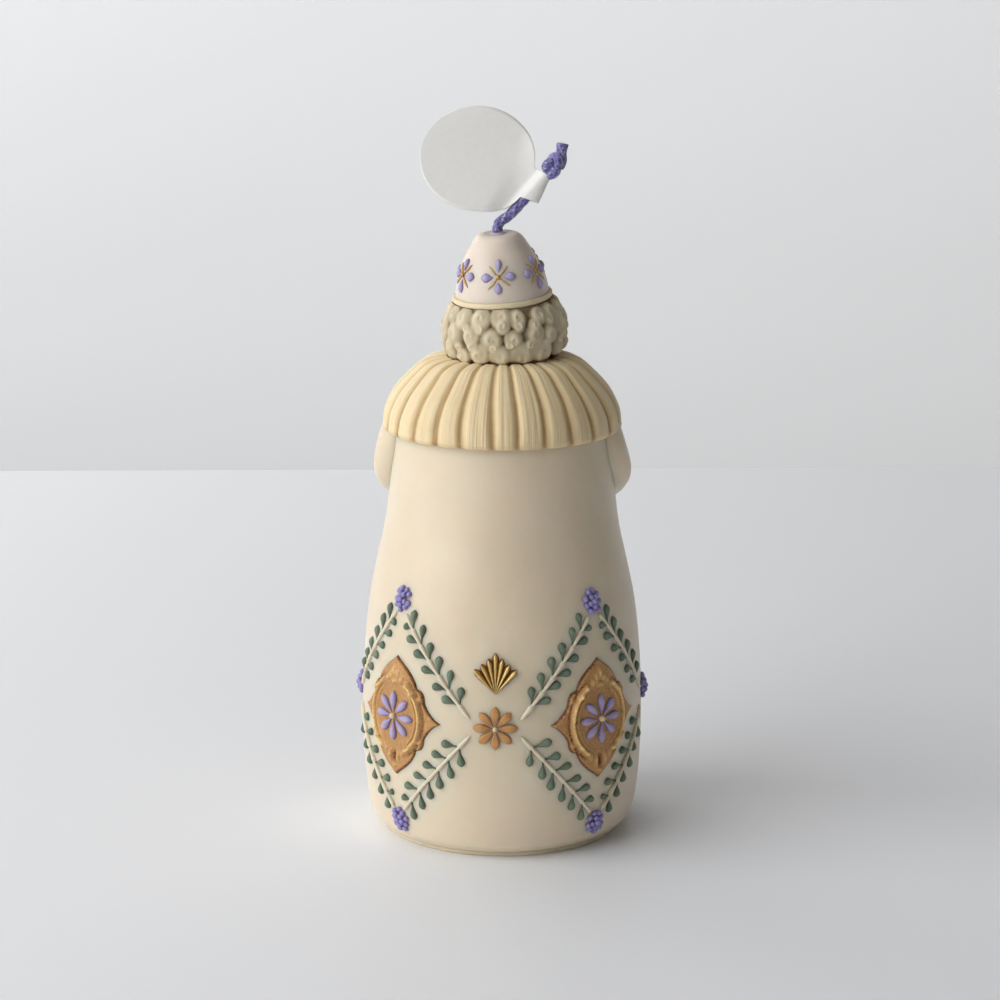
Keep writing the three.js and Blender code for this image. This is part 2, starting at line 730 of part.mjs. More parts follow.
const hatPieces = [
  ["fur_trim", furTrim(), FUR_WAX],
  ["hat_band", hatBand(), BAND_WAX],
  ["hat_dome", hatDome(), HAT_WAX],
];
for (const [name, geometry, material] of hatPieces) {
  add(name, geometry, material, hat).position.z = -HAT_PIVOT_Z;
}
gnome.add(hat);

for (const [label, side] of [["left", 1], ["right", -1]]) {
  add("sleeve_" + label, sleeve(side), CREAM_WAX);
  add("cuff_" + label, cuff(side), FUR_WAX);
  add("mitten_" + label, mitten(side), LAVENDER_WAX);
}

const plainPlaque = (outline) => plaque(outline, MEDALLION_THICKNESS);
const berries = (angle, height) => wrap(plaque(berryOutline(), 0.8, 0.8), angle, height);
const daisyOutline = petalOutline(DAISY_PETALS, DAISY_RADIUS, 0.34);
const flowerOutline = petalOutline(DAISY_PETALS, FLOWER_RADIUS, 0.45);
const daisyLift = 2 * RELIEF_LIFT + MEDALLION_THICKNESS;

for (let k = 0; k < DIAMONDS; k++) {
  const angle = 45 + 90 * k;
  const label = "_" + (k + 1);
  const medallion = plaque(medallionOutline(), MEDALLION_THICKNESS, 0, 2);
  add("medallion" + label, wrap(medallion, angle, WAIST_Z), OCHRE_WAX);
  add("daisy" + label, wrap(plainPlaque(daisyOutline), angle, WAIST_Z, daisyLift), LAVENDER_WAX);
  add("berries_top" + label, berries(angle, BERRIES_TOP_Z), LAVENDER_WAX);
  add("berries_bottom" + label, berries(angle, BERRIES_BOTTOM_Z), LAVENDER_WAX);
  for (const [across, side] of [[1, "a"], [-1, "b"]]) {
    add("sprig_upper" + label + side, sprig(across, 1, angle), LEAF_WAX);
    add("sprig_lower" + label + side, sprig(across, -1, angle), LEAF_WAX);
  }
}

for (const [label, angle] of [["back", 0], ["front", 180]]) {
  add("flower_" + label, wrap(plainPlaque(flowerOutline), angle, WAIST_Z), ROSE_OCHRE_WAX);
  add("gold_fan_" + label, wrap(plaque(fanOutline(), 0.7, 0.4), angle, FAN_Z), GOLD_PAINT);
}
for (const [label, angle] of [["left", -90], ["right", 90]]) {
  add("berries_side_" + label, berries(angle, WAIST_Z + 1), LAVENDER_WAX);
}

add("wick_core", wickCore(), WICK_COTTON);
add("wick_free_end", wickFreeEnd(), WICK_COTTON);
add("wick_knot", wickKnot(), WICK_COTTON);

const tag = add("paper_tag", paperTag(), TAG_PAPER);
const tagOut = new THREE.Vector3(TAG_AXIS.z, 0, -TAG_AXIS.x);
const tagFrame = new THREE.Matrix4().makeBasis(tagOut, TAG_AXIS.clone().cross(tagOut), TAG_AXIS);
tag.quaternion.setFromRotationMatrix(tagFrame);
tag.rotateZ(radians(TAG_ROLL));
tag.position.copy(TAG_PIVOT);

export default gnome;
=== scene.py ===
"""The looks of a tomte gnome candle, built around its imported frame.

Shapes are worked out in millimetres and turned into metres when a piece is made. +Z is up, the face looks
towards -Y, and angles round the body are measured from the middle of the back.
"""
import json
import math

import bpy
import numpy as np
from mathutils import Matrix, Vector


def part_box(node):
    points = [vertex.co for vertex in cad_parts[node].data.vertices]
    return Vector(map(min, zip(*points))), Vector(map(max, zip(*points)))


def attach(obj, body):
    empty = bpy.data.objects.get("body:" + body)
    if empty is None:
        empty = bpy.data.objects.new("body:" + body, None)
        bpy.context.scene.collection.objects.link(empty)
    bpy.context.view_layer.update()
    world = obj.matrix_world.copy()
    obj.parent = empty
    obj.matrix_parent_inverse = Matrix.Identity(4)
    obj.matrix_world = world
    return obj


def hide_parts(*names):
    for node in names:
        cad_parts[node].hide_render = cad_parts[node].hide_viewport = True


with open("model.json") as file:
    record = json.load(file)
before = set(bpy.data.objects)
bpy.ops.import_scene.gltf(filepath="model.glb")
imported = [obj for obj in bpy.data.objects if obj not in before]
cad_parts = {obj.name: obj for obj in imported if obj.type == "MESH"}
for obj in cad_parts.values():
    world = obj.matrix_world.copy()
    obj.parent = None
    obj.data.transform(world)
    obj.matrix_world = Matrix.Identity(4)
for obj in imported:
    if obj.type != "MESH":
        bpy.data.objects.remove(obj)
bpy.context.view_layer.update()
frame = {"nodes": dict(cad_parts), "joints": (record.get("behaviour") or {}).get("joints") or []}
scene = bpy.context.scene

MM = 0.001

# ---- Driving dimensions: millimetres and degrees, unless a name says otherwise ----
# Camera
CAMERA_DISTANCE = 633.0
CAMERA_HEIGHT = 217.2
CAMERA_TURN = 2.7
CAMERA_PITCH = 13.1
CAMERA_ASIDE = 0.42
CAMERA_LENS = 111.6

# Wick, from the top of the hat to its cut end
WICK_ROUTE_M = [
    (0.0009, 0.00083, 0.1268),
    (0.0009, 0.00082, 0.1277),
    (0.0002, 0.0008, 0.1288),
    (-0.0017, 0.0008, 0.1302),
    (-0.0043, 0.0008, 0.1330),
    (-0.0069, 0.0008, 0.13596),
    (-0.00875, 0.0008, 0.1381),
]
KNOT_CENTRE_M = (-0.0107, 0.0008, 0.1404)
WICK_AXIS = (-0.658, 0.0, 0.753)
BRAID_STRANDS = 6
BRAID_PITCH = 1.7
BRAID_RADIUS = 1.04
KNOT_STARTS_AT = 17.0
KNOT_ENDS_BEFORE_CUT = 4.5
KNOT_WIDTH = 0.55
KNOT_DEPTH = 0.8

# Body
BORE_RADIUS = 2.0
NECK_RADIUS = 2.2
NECK_TOP_Z = 7.4
RECESS_RADIUS = 8.6
RECESS_TOP_Z = 2.4

# Hat: (radius, height) outlines are of the upright hat, before it leans
HAT_PIVOT_Z = 114.0
HAT_LEAN_BACK = 4.0
HAT_LEAN_SIDE = 3.7
DOME_PROFILE = [
    (9.75, 112.8), (9.7, 114.4), (9.25, 116.8), (8.4, 119.4), (7.15, 122.0), (6.15, 123.7), (5.45, 124.9),
    (4.85, 125.7), (4.1, 126.25), (3.2, 126.45),
]
FUR_PROFILE = [
    (10.9, 102.0), (11.9, 102.7), (12.25, 104.4), (12.35, 107.0), (11.9, 109.0), (11.1, 110.7),
    (10.4, 111.8), (10.0, 112.5),
]
FUR_BORE = 10.2
FUR_RADIUS = 12.6
LUMP_MERGE = 7.0
BAND_BOTTOM_Z = 112.75
BAND_TOP_Z = 113.85
BAND_INNER = 9.3
BAND_OUTER = 10.36
HAT_FLOWER_Z = 119.0
HAT_FLOWERS = 6

# Hair, beard and face
HAIR_OUTER = [
    (11.4, 100.9), (13.6, 100.7), (16.5, 99.7), (19.4, 97.2), (22.4, 93.9), (24.4, 90.0), (24.9, 86.7),
]
HAIR_INNER = [(23.3, 86.7), (21.9, 90.4), (19.6, 94.2), (14.8, 98.2), (11.4, 99.2)]
HAIR_HALF_ANGLE = 126.0
HAIR_RIBS = 18

BEARD_HALF_ANGLE = 52.0
BEARD_TOP_Z = 98.9
BEARD_END_Z = 72.5
BEARD_RIBS = 9

FACE_CENTRE = (0.0, -8.2, 100.2)
FACE_RADII = (10.2, 10.4, 7.4)
EYE_X = 3.9
EYE_Z = 101.7
EYE_RADII = (1.12, 1.05, 0.95)
BROW_Z = 104.0
# Soft forms pushed out of the plain face: how far, middle x and z, half width and half height.
FACE_FORMS = [
    (1.3, 0.0, 101.9, 1.35, 2.0), (-0.95, EYE_X, EYE_Z, 1.9, 1.35), (0.75, 5.6, 98.6, 2.4, 1.9),
    (0.45, 3.7, 103.9, 2.6, 0.95),
]
SKULL_PROFILE = [(9.2, 98.9), (9.4, 99.4), (9.4, 109.6), (9.1, 110.0)]
NOSE_CENTRE = (0, -21.3, 100.3)
NOSE_RADII = (2.7, 2.7, 2.5)
MOUSTACHE_RADIUS = 2.0
MOUSTACHE_HALF = [
    (0.5, -23.3, 96.6), (3.2, -23.9, 95.9), (6.4, -23.3, 94.5), (9.2, -22.3, 92.5), (11.4, -21.6, 90.6),
]

# Arms: the path is the left one's, from the shoulder to the hands
ARM_PATH = [
    (17.6, 2.6, 90.6), (20.3, 2.5, 86.2), (21.9, 1.8, 81.5), (22.7, -2.5, 75.9),
    (20.4, -12.0, 71.8), (13.7, -20.4, 69.0), (5.0, -25.2, 67.4), (-2.5, -26.2, 66.8),
]
ARM_RADIUS = 4.2
# Shares of the arm's line, from the shoulder on.
SLEEVE_SHARE = (0.0, 0.70)
CUFF_SHARE = (0.67, 0.775)
MITTEN_START = 0.745
CUFF_RADIUS = 4.4
HAND_RADIUS = 3.5
HANDS_MEET = (0.3, -26.6, 66.9)
THUMB_PATH = [(8.6, -24.6, 70.0), (6.4, -26.4, 71.0), (3.6, -27.5, 70.6), (1.6, -27.6, 69.6)]
THUMB_RADIUS = 1.35

# Relief round the body: a diamond of sprigs round each medallion, laid flat on an unrolled cylinder
UNROLLED_RADIUS = 29.0
DIAMONDS = 4
WAIST_Z = 29.0
SPRIG_INNER = 35.0
SPRIG_OUTER = 3.0
SPRIG_WAIST_GAP = 1.7
SPRIG_TOP_Z = 50.6
SPRIG_BOTTOM_Z = 8.6
SPRIG_NODES = 6
LEAF_LENGTH = 4.1
LEAF_WIDTH = 1.7
LEAF_RISE = 0.85
LEAF_TURNS_ABOVE = (87.0, 166.0)
LEAF_TURNS_BELOW = (83.0, 190.0)
STEM_HALF_WIDTH = 0.48
BERRIES_TOP_Z = 53.5
BERRIES_BOTTOM_Z = 6.2
MEDALLION_QUARTER = [
    (11.5, 0.0), (10.2, 0.75), (8.8, 2.2), (7.8, 3.8), (7.55, 5.2), (6.9, 6.2), (5.75, 6.7), (5.4, 7.6),
    (4.5, 9.0), (3.0, 10.5), (1.1, 11.9), (0.0, 12.8),
]
MEDALLION_RISE = 0.66
# Arcs on both sides of a medallion's daisy: radius, how far each stands out and half its width.
MEDALLION_RINGS = [(6.7, 0.72, 0.42), (5.75, 0.36, 0.26), (7.6, -0.3, 0.3), (6.2, -0.25, 0.18)]
# A medallion's small bosses and hollows: x, y, half width, half height and how far each stands out.
BOSS_RISE = 1.35
MEDALLION_BLOBS = [
    (0.0, 9.7, 0.5, 1.2, 0.5), (1.0, 8.8, 0.42, 0.95, 0.42), (1.9, 7.9, 0.45, 0.7, 0.4),
    (0.0, 7.4, 0.8, 0.5, 0.42), (3.4, 6.9, 0.55, 0.55, 0.5), (4.9, 5.4, 0.5, 0.5, 0.4),
    (6.6, 4.6, 0.45, 0.45, 0.35), (4.9, -5.4, 0.5, 0.5, 0.4), (6.6, -4.6, 0.45, 0.45, 0.35),
    (3.4, -6.9, 0.55, 0.55, 0.5), (0.0, -8.9, 0.55, 1.25, -0.45), (1.15, -8.7, 0.42, 1.2, 0.42),
    (0.0, -10.9, 0.5, 0.5, 0.35), (2.4, -7.8, 0.4, 0.7, 0.35),
]
DAISY_RADIUS = 5.2
FLOWER_RADIUS = 4.55
FAN_Z = 40.5
FAN_HALF_WIDTH = 4.3
FAN_SHOULDER = 4.9
FAN_HEIGHT = 8.4
FAN_RIBS = 7

# Paper tag: its disc, and the neck that folds round the wick
TAG_ROLL = -8.0
TAG_TWIST = 9.0
TAG_SKEW = 17.0
TAG_RADIUS = 11.8
TAG_SQUASH = 0.915
TAG_UPRIGHT = (0.658, 0.753)
TAG_CENTRE = (12.65, -4.2)
TAG_NECK_HALF_WIDTHS = (3.38, 2.94)
TAG_FOLD_REACH = 15.15
TAG_FOLD_RADIUS = 1.3
PAPER_THICKNESS = 0.11
GLUED_HALF_GAP = 0.062


# ---- Curves and grids ----
def through(points, count):
    """count points evenly spaced along a smooth curve through the given points."""
    p = np.asarray(points, float)
    p = np.vstack([2 * p[0] - p[1], p, 2 * p[-1] - p[-2]])
    t = np.linspace(0, 1, 24, endpoint=False)[:, None]
    runs = []
    for a, b, c, d in zip(p[:-3], p[1:-2], p[2:-1], p[3:]):
        cubic = (3 * b - a - 3 * c + d) * t**3
        square = (2 * a - 5 * b + 4 * c - d) * t**2
        runs.append(0.5 * (2 * b + (c - a) * t + square + cubic))
    dense = np.vstack(runs + [p[-2:-1]])
    steps = np.linalg.norm(np.diff(dense, axis=0), axis=1)
    length = np.concatenate([[0], np.cumsum(steps)])
    at = np.linspace(0, length[-1], count)
    return np.stack([np.interp(at, length, column) for column in dense.T], 1)


def arc_length(points):
    """The distance along a path to each of its points."""
    steps = np.linalg.norm(np.diff(points, axis=0), axis=1)
    return np.concatenate([[0], np.cumsum(steps)])


def outward_normals(section):
    """Unit normals of a (radius, height) curve, pointing away from the axis."""
    slope = np.gradient(section, axis=0)
    normal = np.stack([slope[:, 1], -slope[:, 0]], 1)
    normal /= np.linalg.norm(normal, axis=1)[:, None]
    return normal if normal[len(normal) // 2, 0] > 0 else -normal


def skin(grid, closed_rows=False, relief=None):
    """One closed part from a (rows, columns, 3) grid whose columns close on themselves."""
    grid = np.asarray(grid, float)
    rows, columns = grid.shape[:2]
    low, left = np.meshgrid(np.arange(rows if closed_rows else rows - 1), np.arange(columns), indexing="ij")
    high = (low + 1) % rows
    right = (left + 1) % columns
    corners = [low * columns + left, low * columns + right, high * columns + right, high * columns + left]
    quads = np.stack(corners, -1).reshape(-1, 4)
    points = grid.reshape(-1, 3)
    triangles = [quads[:, [0, 1, 2]], quads[:, [0, 2, 3]]]
    caps = []
    if not closed_rows:
        caps = [np.arange(columns)[::-1], np.arange(columns) + (rows - 1) * columns]
        triangles += [np.stack([np.full(columns - 2, cap[0]), cap[1:-1], cap[2:]], 1) for cap in caps]
    a, b, c = (points[np.concatenate(triangles)[:, k]] - points[0] for k in range(3))
    faces_in = np.einsum("ij,ij->i", a, np.cross(b, c)).sum() < 0
    faces = quads.tolist() + [cap.tolist() for cap in caps]
    if faces_in:
        faces = [face[::-1] for face in faces]
    if relief is None:
        relief = np.full(len(points), 0.5)
    return points, faces, np.asarray(relief, float).reshape(-1)


def mesh_object(name, points, faces, material):
    """A smooth mesh in the scene, from points in metres."""
    mesh = bpy.data.meshes.new(name)
    mesh.from_pydata(points, [], faces)
    mesh.shade_smooth()
    mesh.materials.append(material)
    made = bpy.data.objects.new(name, mesh)
    scene.collection.objects.link(made)
    return made


def piece(name, parts, material, body="root", stands_for=()):
    """Makes one Blender piece from parts and lets it ride on a body."""
    faces = []
    first = 0
    for points, part_faces, _ in parts:
        faces += [[corner + first for corner in face] for face in part_faces]
        first += len(points)
    points = np.concatenate([part[0] for part in parts]) * MM
    made = mesh_object(name, points.tolist(), faces, material)
    # The relief attribute sets each point's place on its material's colour ramp; on most pieces it carries
    # painted shade and painted highlight.
    relief = made.data.attributes.new("relief", "FLOAT", "POINT")
    relief.data.foreach_set("value", np.concatenate([part[2] for part in parts]).astype(np.float32))
    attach(made, body)
    if stands_for:
        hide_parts(*stands_for)
    return made


def frames_along(path):
    """Unit tangents of a path, and two unit vectors across it that turn as little as they can."""
    tangent = np.gradient(path, axis=0)
    tangent /= np.linalg.norm(tangent, axis=1)[:, None]
    start = np.cross(tangent[0], (0.0, 1.0, 0.0))
    across = [start / np.linalg.norm(start)]
    for t in tangent[1:]:
        carried = across[-1] - t * across[-1].dot(t)
        across.append(carried / np.linalg.norm(carried))
    across = np.array(across)
    return tangent, across, np.cross(tangent, across)


def tube(path, radius, columns=24, relief=None, squash=1.0):
    """A tube along a path. radius is a number, one a row, or one a point of the grid."""
    _, across, up = frames_along(path)
    turn = circle(columns)
    radius = np.broadcast_to(np.asarray(radius, float).reshape(-1, 1) if np.ndim(radius) < 2 else radius,
                             (len(path), columns))
    grid = path[:, None] + across[:, None] * (radius * np.cos(turn))[..., None]
    grid = grid + up[:, None] * (squash * radius * np.sin(turn))[..., None]
    return skin(grid, relief=relief)


def ball(centre, radii, rows=10, columns=14):
    """A grid over an ellipsoid, from its top down."""
    polar = np.linspace(0.12, math.pi - 0.12, rows)[:, None]
    turn = circle(columns)[None]
    x = np.sin(polar) * np.cos(turn)
    y = np.sin(polar) * np.sin(turn)
    unit = np.stack([x, y, np.cos(polar) + 0 * turn], -1)
    return np.asarray(centre, float) + unit * np.asarray(radii, float)


def smooth_noise(rng, size, count):
    """count values of a smooth random curve with about one bump for each of size knots."""
    knots = rng.uniform(-1, 1, size + 3)
    at = np.linspace(0, size, count)
    left = np.floor(at).astype(int)
    t = at - left
    t = t * t * (3 - 2 * t)
    return knots[left] * (1 - t) + knots[left + 1] * t


def circle(count):
    """count angles evenly round a full turn."""
    return np.linspace(0, 2 * np.pi, count, endpoint=False)


def about_axis(radius, turn, height):
    """Points round the Z axis; a turn of nothing is the middle of the back."""
    return np.stack(np.broadcast_arrays(-radius * np.sin(turn), radius * np.cos(turn), height), -1)


def off_skin(section, normal, lift):
    """(radius, height) grids of a turned section, lifted along its normals."""
    return [section[None, :, k] + normal[None, :, k] * lift for k in range(2)]


def mirrored(points, side):
    return points * np.array([side, 1.0, 1.0])


def bell(x):
    return np.exp(-x * x)


def smoothstep(x):
    x = np.clip(x, 0, 1)
    return x * x * (3 - 2 * x)


# ---- Body and hat surfaces ----
def outer_rings(node, least_radius):
    """(radius, height) of the rings of points on a turned CAD node's outer skin, from the foot up."""
    points = np.array([v.co for v in frame["nodes"][node].data.vertices]) / MM
    rings = {}
    for radius, height in zip(np.hypot(points[:, 0], points[:, 1]), np.round(points[:, 2], 1)):
        if radius > least_radius:
            rings[height] = max(radius, rings.get(height, 0))
    return [(rings[height], height) for height in sorted(rings)]


body_skin = through(outer_rings("body", 12.0), 400)


def body_radius(height):
    return np.interp(height, body_skin[:, 1], body_skin[:, 0])


def wrap(points, angle, height, lift=0.0):
    """Lays a flat relief on the body: x runs round it, y up it and z away from it."""
    turn = np.radians(angle) + points[..., 0] / UNROLLED_RADIUS
    z = height + points[..., 1]
    return about_axis(body_radius(z) + lift + points[..., 2], turn, z)


def on_hat(points):
    """Points of the upright hat, where the leaning hat carries them."""
    lean = Matrix.Rotation(math.radians(-HAT_LEAN_BACK), 3, "X")
    lean = np.array(lean @ Matrix.Rotation(math.radians(HAT_LEAN_SIDE), 3, "Y"))
    pivot = np.array([0, 0, HAT_PIVOT_Z])
    return (points - pivot) @ lean.T + pivot


dome_skin = through(DOME_PROFILE, 300)
dome_normal = outward_normals(dome_skin)
dome_length = arc_length(dome_skin)


def lay_on_dome(points, angle, height):
    """Lays a flat relief on the hat's dome: x runs round it, y up its slope and z away from it."""
    start = np.interp(height, dome_skin[:, 1], dome_length)
    start_radius = np.interp(height, dome_skin[:, 1], dome_skin[:, 0])
    at = start + points[..., 1]
    radius, z = (np.interp(at, dome_length, dome_skin[:, k]) for k in range(2))
    out, up = (np.interp(at, dome_length, dome_normal[:, k]) for k in range(2))
    radius = radius + out * points[..., 2]
    turn = np.radians(angle) + points[..., 0] / start_radius
    return on_hat(about_axis(radius, turn, z + up * points[..., 2]))


def revolve(section, turn, bumps):
    """A ring turned about the Z axis from a (radius, height) section, with bumps added to its radius."""
    return about_axis(section[None, :, 0] + bumps, turn, section[None, :, 1])


# ---- Materials ----
def node(tree, kind, inputs=None, **settings):
    """A shader node. Its inputs are values or sockets to join."""
    made = tree.nodes.new(kind)
    for name, value in settings.items():
        setattr(made, name, value)
    for name, value in (inputs or {}).items():
        if isinstance(value, bpy.types.NodeSocket):
            tree.links.new(value, made.inputs[name])
        else:
            made.inputs[name].default_value = value
    return made


def linear(color):
    """A colour given as sRGB 0 to 255, as the shader wants it."""
    parts = [c / 255 for c in color]
    return [c / 12.92 if c <= 0.04045 else ((c + 0.055) / 1.055) ** 2.4 for c in parts] + [1.0]


def noise(tree, scale, detail=3.0, stretch=(1.0, 1.0, 1.0)):
    """Noise in the piece's own frame. scale is bumps a millimetre."""
    place = node(tree, "ShaderNodeTexCoord")
    mapping = node(tree, "ShaderNodeMapping", {"Vector": place.outputs["Object"], "Scale": stretch})
    made = node(tree, "ShaderNodeTexNoise",
                {"Vector": mapping.outputs[0], "Scale": scale / MM, "Detail": detail})
    return made.outputs["Fac"]


def ramp(tree, factor, stops):
    """A colour that follows a factor through (position, sRGB colour) stops."""
    made = node(tree, "ShaderNodeValToRGB", {"Fac": factor})
    elements = made.color_ramp.elements
    while len(elements) < len(stops):
        elements.new(0.5)
    for element, (position, color) in zip(elements, stops):
        element.position = position
        element.color = linear(color)
    return made.outputs["Color"]


def math_node(tree, operation, a, b):
    return node(tree, "ShaderNodeMath", {0: a, 1: b}, operation=operation).outputs[0]


def surface(name, stops, grain=(0.35, 0.25), bump=((1.2, 0.05),), stretch=(1.0, 1.0, 1.0), **sockets):
    """A material whose colour follows the piece's relief attribute, which on most pieces carries painted
    shade and painted highlight, and a noise of grain = (bumps a mm, share), over a bump of (bumps a mm,
    depth in mm) layers. sockets are set on the shader."""
    made = bpy.data.materials.new(name)
    made.use_nodes = True
    tree = made.node_tree
    shader = tree.nodes["Principled BSDF"]
    relief = node(tree, "ShaderNodeAttribute", attribute_name="relief")
    centred = math_node(tree, "SUBTRACT", noise(tree, grain[0]), 0.5)
    spread = math_node(tree, "MULTIPLY", centred, 2 * grain[1])
    factor = math_node(tree, "ADD", relief.outputs["Fac"], spread)
    tree.links.new(ramp(tree, factor, stops), shader.inputs["Base Color"])
    normal = None
    for scale, depth in bump:
        height = noise(tree, scale, 4.0, stretch)
        layer = node(tree, "ShaderNodeBump", {"Height": height, "Strength": 1.0, "Distance": depth * MM})
        if normal is not None:
            tree.links.new(normal, layer.inputs["Normal"])
        normal = layer.outputs["Normal"]
    tree.links.new(normal, shader.inputs["Normal"])
    for socket, value in sockets.items():
        shader.inputs[socket.replace("_", " ")].default_value = value
    return made


def wax(name, stops, depth=2.0, weight=0.9, roughness=0.45, **more):
    """Cast wax: light goes depth millimetres into it, red light furthest."""
    return surface(name, stops, Roughness=roughness, Subsurface_Weight=weight, Subsurface_Scale=depth * MM,
                   Subsurface_Radius=(1.0, 0.62, 0.38), Specular_IOR_Level=0.45, IOR=1.44, **more)


CREAM = wax("cream_wax", [(0.0, (219, 202, 175)), (0.5, (230, 215, 190)), (1.0, (236, 224, 202))],
            depth=3.6, roughness=0.4, grain=(0.06, 0.5), bump=((0.25, 0.12), (2.5, 0.012)), Coat_Weight=0.3,
            Coat_Roughness=0.42)
HAT = wax("hat_wax", [(0.0, (196, 180, 196)), (0.25, (218, 203, 193)), (0.7, (228, 215, 202))],
          depth=1.4, roughness=0.4, grain=(0.12, 0.15), bump=((0.3, 0.08), (2.5, 0.012)))
HAIR = wax("hair_wax", [(0.0, (172, 134, 88)), (0.45, (222, 197, 150)), (1.0, (240, 221, 182))],
           depth=0.8, weight=0.6, roughness=0.5, grain=(0.5, 0.12), bump=((1.2, 0.03), (4.0, 0.015)))
BAND = wax("band_wax", [(0.0, (200, 178, 136)), (0.6, (226, 207, 168)), (1.0, (238, 222, 188))],
           depth=0.6, weight=0.4, roughness=0.6, grain=(0.8, 0.3), bump=((0.9, 0.1), (3.0, 0.03)))
FUR = wax("fur_wax", [(0.0, (142, 126, 98)), (0.4, (192, 177, 147)), (1.0, (218, 206, 178))],
          depth=0.8, weight=0.5, roughness=0.75, grain=(0.6, 0.1), bump=((1.2, 0.07), (4.0, 0.03)))
SKIN = wax("skin_wax", [(0.0, (232, 190, 160)), (0.5, (236, 198, 170)), (1.0, (244, 212, 186))],
           depth=1.8, roughness=0.45, grain=(0.2, 0.25), bump=((0.9, 0.03), (4.0, 0.01)))
OCHRE = wax("ochre_wax",
            [(0.0, (112, 68, 34)), (0.3, (190, 142, 92)), (0.7, (212, 166, 108)), (1.0, (240, 208, 142))],
            depth=0.6, weight=0.35, roughness=0.38, grain=(2.2, 0.4), bump=((1.6, 0.2), (4.0, 0.09)),
            Metallic=0.2)
ROSE = wax("rose_ochre_wax", [(0.0, (112, 70, 38)), (0.5, (190, 138, 84)), (1.0, (212, 168, 112))],
           depth=0.8, weight=0.5, roughness=0.45, grain=(0.7, 0.15), bump=((1.5, 0.04), (4.0, 0.015)))
STEM = wax("stem_wax", [(0.0, (168, 150, 120)), (0.5, (216, 203, 176)), (1.0, (238, 229, 208))],
           depth=0.8, weight=0.5, roughness=0.5, grain=(0.8, 0.1), bump=((2.0, 0.04), (5.0, 0.015)))
LAVENDER = wax("lavender_wax", [(0.0, (98, 88, 122)), (0.5, (164, 152, 194)), (1.0, (198, 188, 216))],
               depth=0.8, weight=0.5, roughness=0.45, grain=(0.6, 0.12), bump=((1.5, 0.03), (4.0, 0.012)))
BERRY = wax("berry_wax", [(0.0, (72, 64, 112)), (0.5, (134, 124, 184)), (1.0, (174, 166, 214))],
            depth=0.6, weight=0.4, roughness=0.42, grain=(0.8, 0.12), bump=((1.5, 0.03), (4.0, 0.012)))
LEAF = wax("leaf_wax", [(0.0, (66, 80, 66)), (0.5, (98, 116, 96)), (1.0, (130, 146, 126))],
           depth=0.5, weight=0.35, roughness=0.5, grain=(0.8, 0.2), bump=((1.5, 0.04), (4.0, 0.015)))
GOLD = surface("gold_paint", [(0.0, (88, 58, 20)), (0.4, (178, 132, 58)), (1.0, (250, 224, 156))],
               grain=(1.4, 0.2), bump=((1.5, 0.05), (5.0, 0.025)), Roughness=0.36, Metallic=0.75)
EYE = surface("eye_paint", [(0.0, (24, 20, 20)), (1.0, (40, 32, 28))], grain=(0.5, 0.2),
              bump=((2.0, 0.005),), Roughness=0.12, Coat_Weight=0.8)
METAL = surface("wick_metal", [(0.0, (150, 152, 156)), (1.0, (206, 208, 210))], grain=(0.5, 0.4),
                bump=((2.0, 0.01),), stretch=(1.0, 1.0, 6.0), Roughness=0.35, Metallic=1.0)
COTTON = surface("wick_cotton",
                 [(0.0, (60, 54, 104)), (0.45, (104, 98, 158)), (0.8, (136, 130, 190)),
                  (1.0, (214, 210, 234))],
                 grain=(2.6, 0.75), bump=((3.0, 0.06), (9.0, 0.04)), Roughness=0.6, Sheen_Weight=0.3,
                 Coat_Weight=0.25, Coat_Roughness=0.35)
PAPER = surface("tag_paper", [(0.0, (242, 239, 231)), (0.5, (247, 245, 239)), (1.0, (250, 249, 245))],
                grain=(0.9, 0.4), bump=((5.0, 0.012), (0.3, 0.02)), Roughness=0.8, Subsurface_Weight=0.3,
                Subsurface_Scale=0.4 * MM, Subsurface_Radius=(1.0, 1.0, 0.95))


# ---- Camera ----
def place_camera():
    """A long lens that looks a little down on the figure's back."""
    turn = math.radians(CAMERA_TURN)
    pitch = math.radians(CAMERA_PITCH)
    right = Vector((-math.cos(turn), -math.sin(turn), 0))
    ahead = Vector((math.sin(turn) * math.cos(pitch), -math.cos(turn) * math.cos(pitch), -math.sin(pitch)))
    up = right.cross(ahead)
    data = bpy.data.cameras.new("camera")
    data.lens = CAMERA_LENS
    data.sensor_width = 36.0
    data.clip_start = 0.01
    camera = bpy.data.objects.new("camera", data)
    scene.collection.objects.link(camera)
    spot = Vector((-CAMERA_DISTANCE * math.sin(turn), CAMERA_DISTANCE * math.cos(turn), CAMERA_HEIGHT))
    spot = (spot - right * CAMERA_ASIDE) * MM
    rotation = Matrix((right, up, -ahead)).transposed()
    camera.matrix_world = Matrix.Translation(spot) @ rotation.to_4x4()
    scene.camera = camera


place_camera()


# ---- Wick: one length of braided cotton, tied in an overhand knot ----
def wick_path():
    """The wick's centreline in millimetres, from the hat to its cut end."""
    route = [np.array(point) / MM for point in WICK_ROUTE_M]
    centre = np.array(KNOT_CENTRE_M) / MM
    back = -np.array(WICK_AXIS)
    aside = np.array([WICK_AXIS[2], 0, -WICK_AXIS[0]])
    front = np.array([0, 1.0, 0])
    tied = [(1.75, -0.75, 0.45)]
    for t in np.linspace(math.pi + 0.5, 3 * math.pi - 0.5, 26):
        x = KNOT_WIDTH * (math.sin(t) + 2 * math.sin(2 * t))
        y = KNOT_WIDTH * (math.cos(t) - 2 * math.cos(2 * t))
        tied.append((x, y, -KNOT_DEPTH * math.sin(3 * t)))
    tied += [(-1.7, -0.5, -0.45), (-2.6, 0.35, -0.1), (-3.6, 1.1, 0), (-4.4, 1.6, 0)]
    knot = [centre + x * back + y * aside + z * front for x, y, z in tied]
    return through(route + knot, 560)


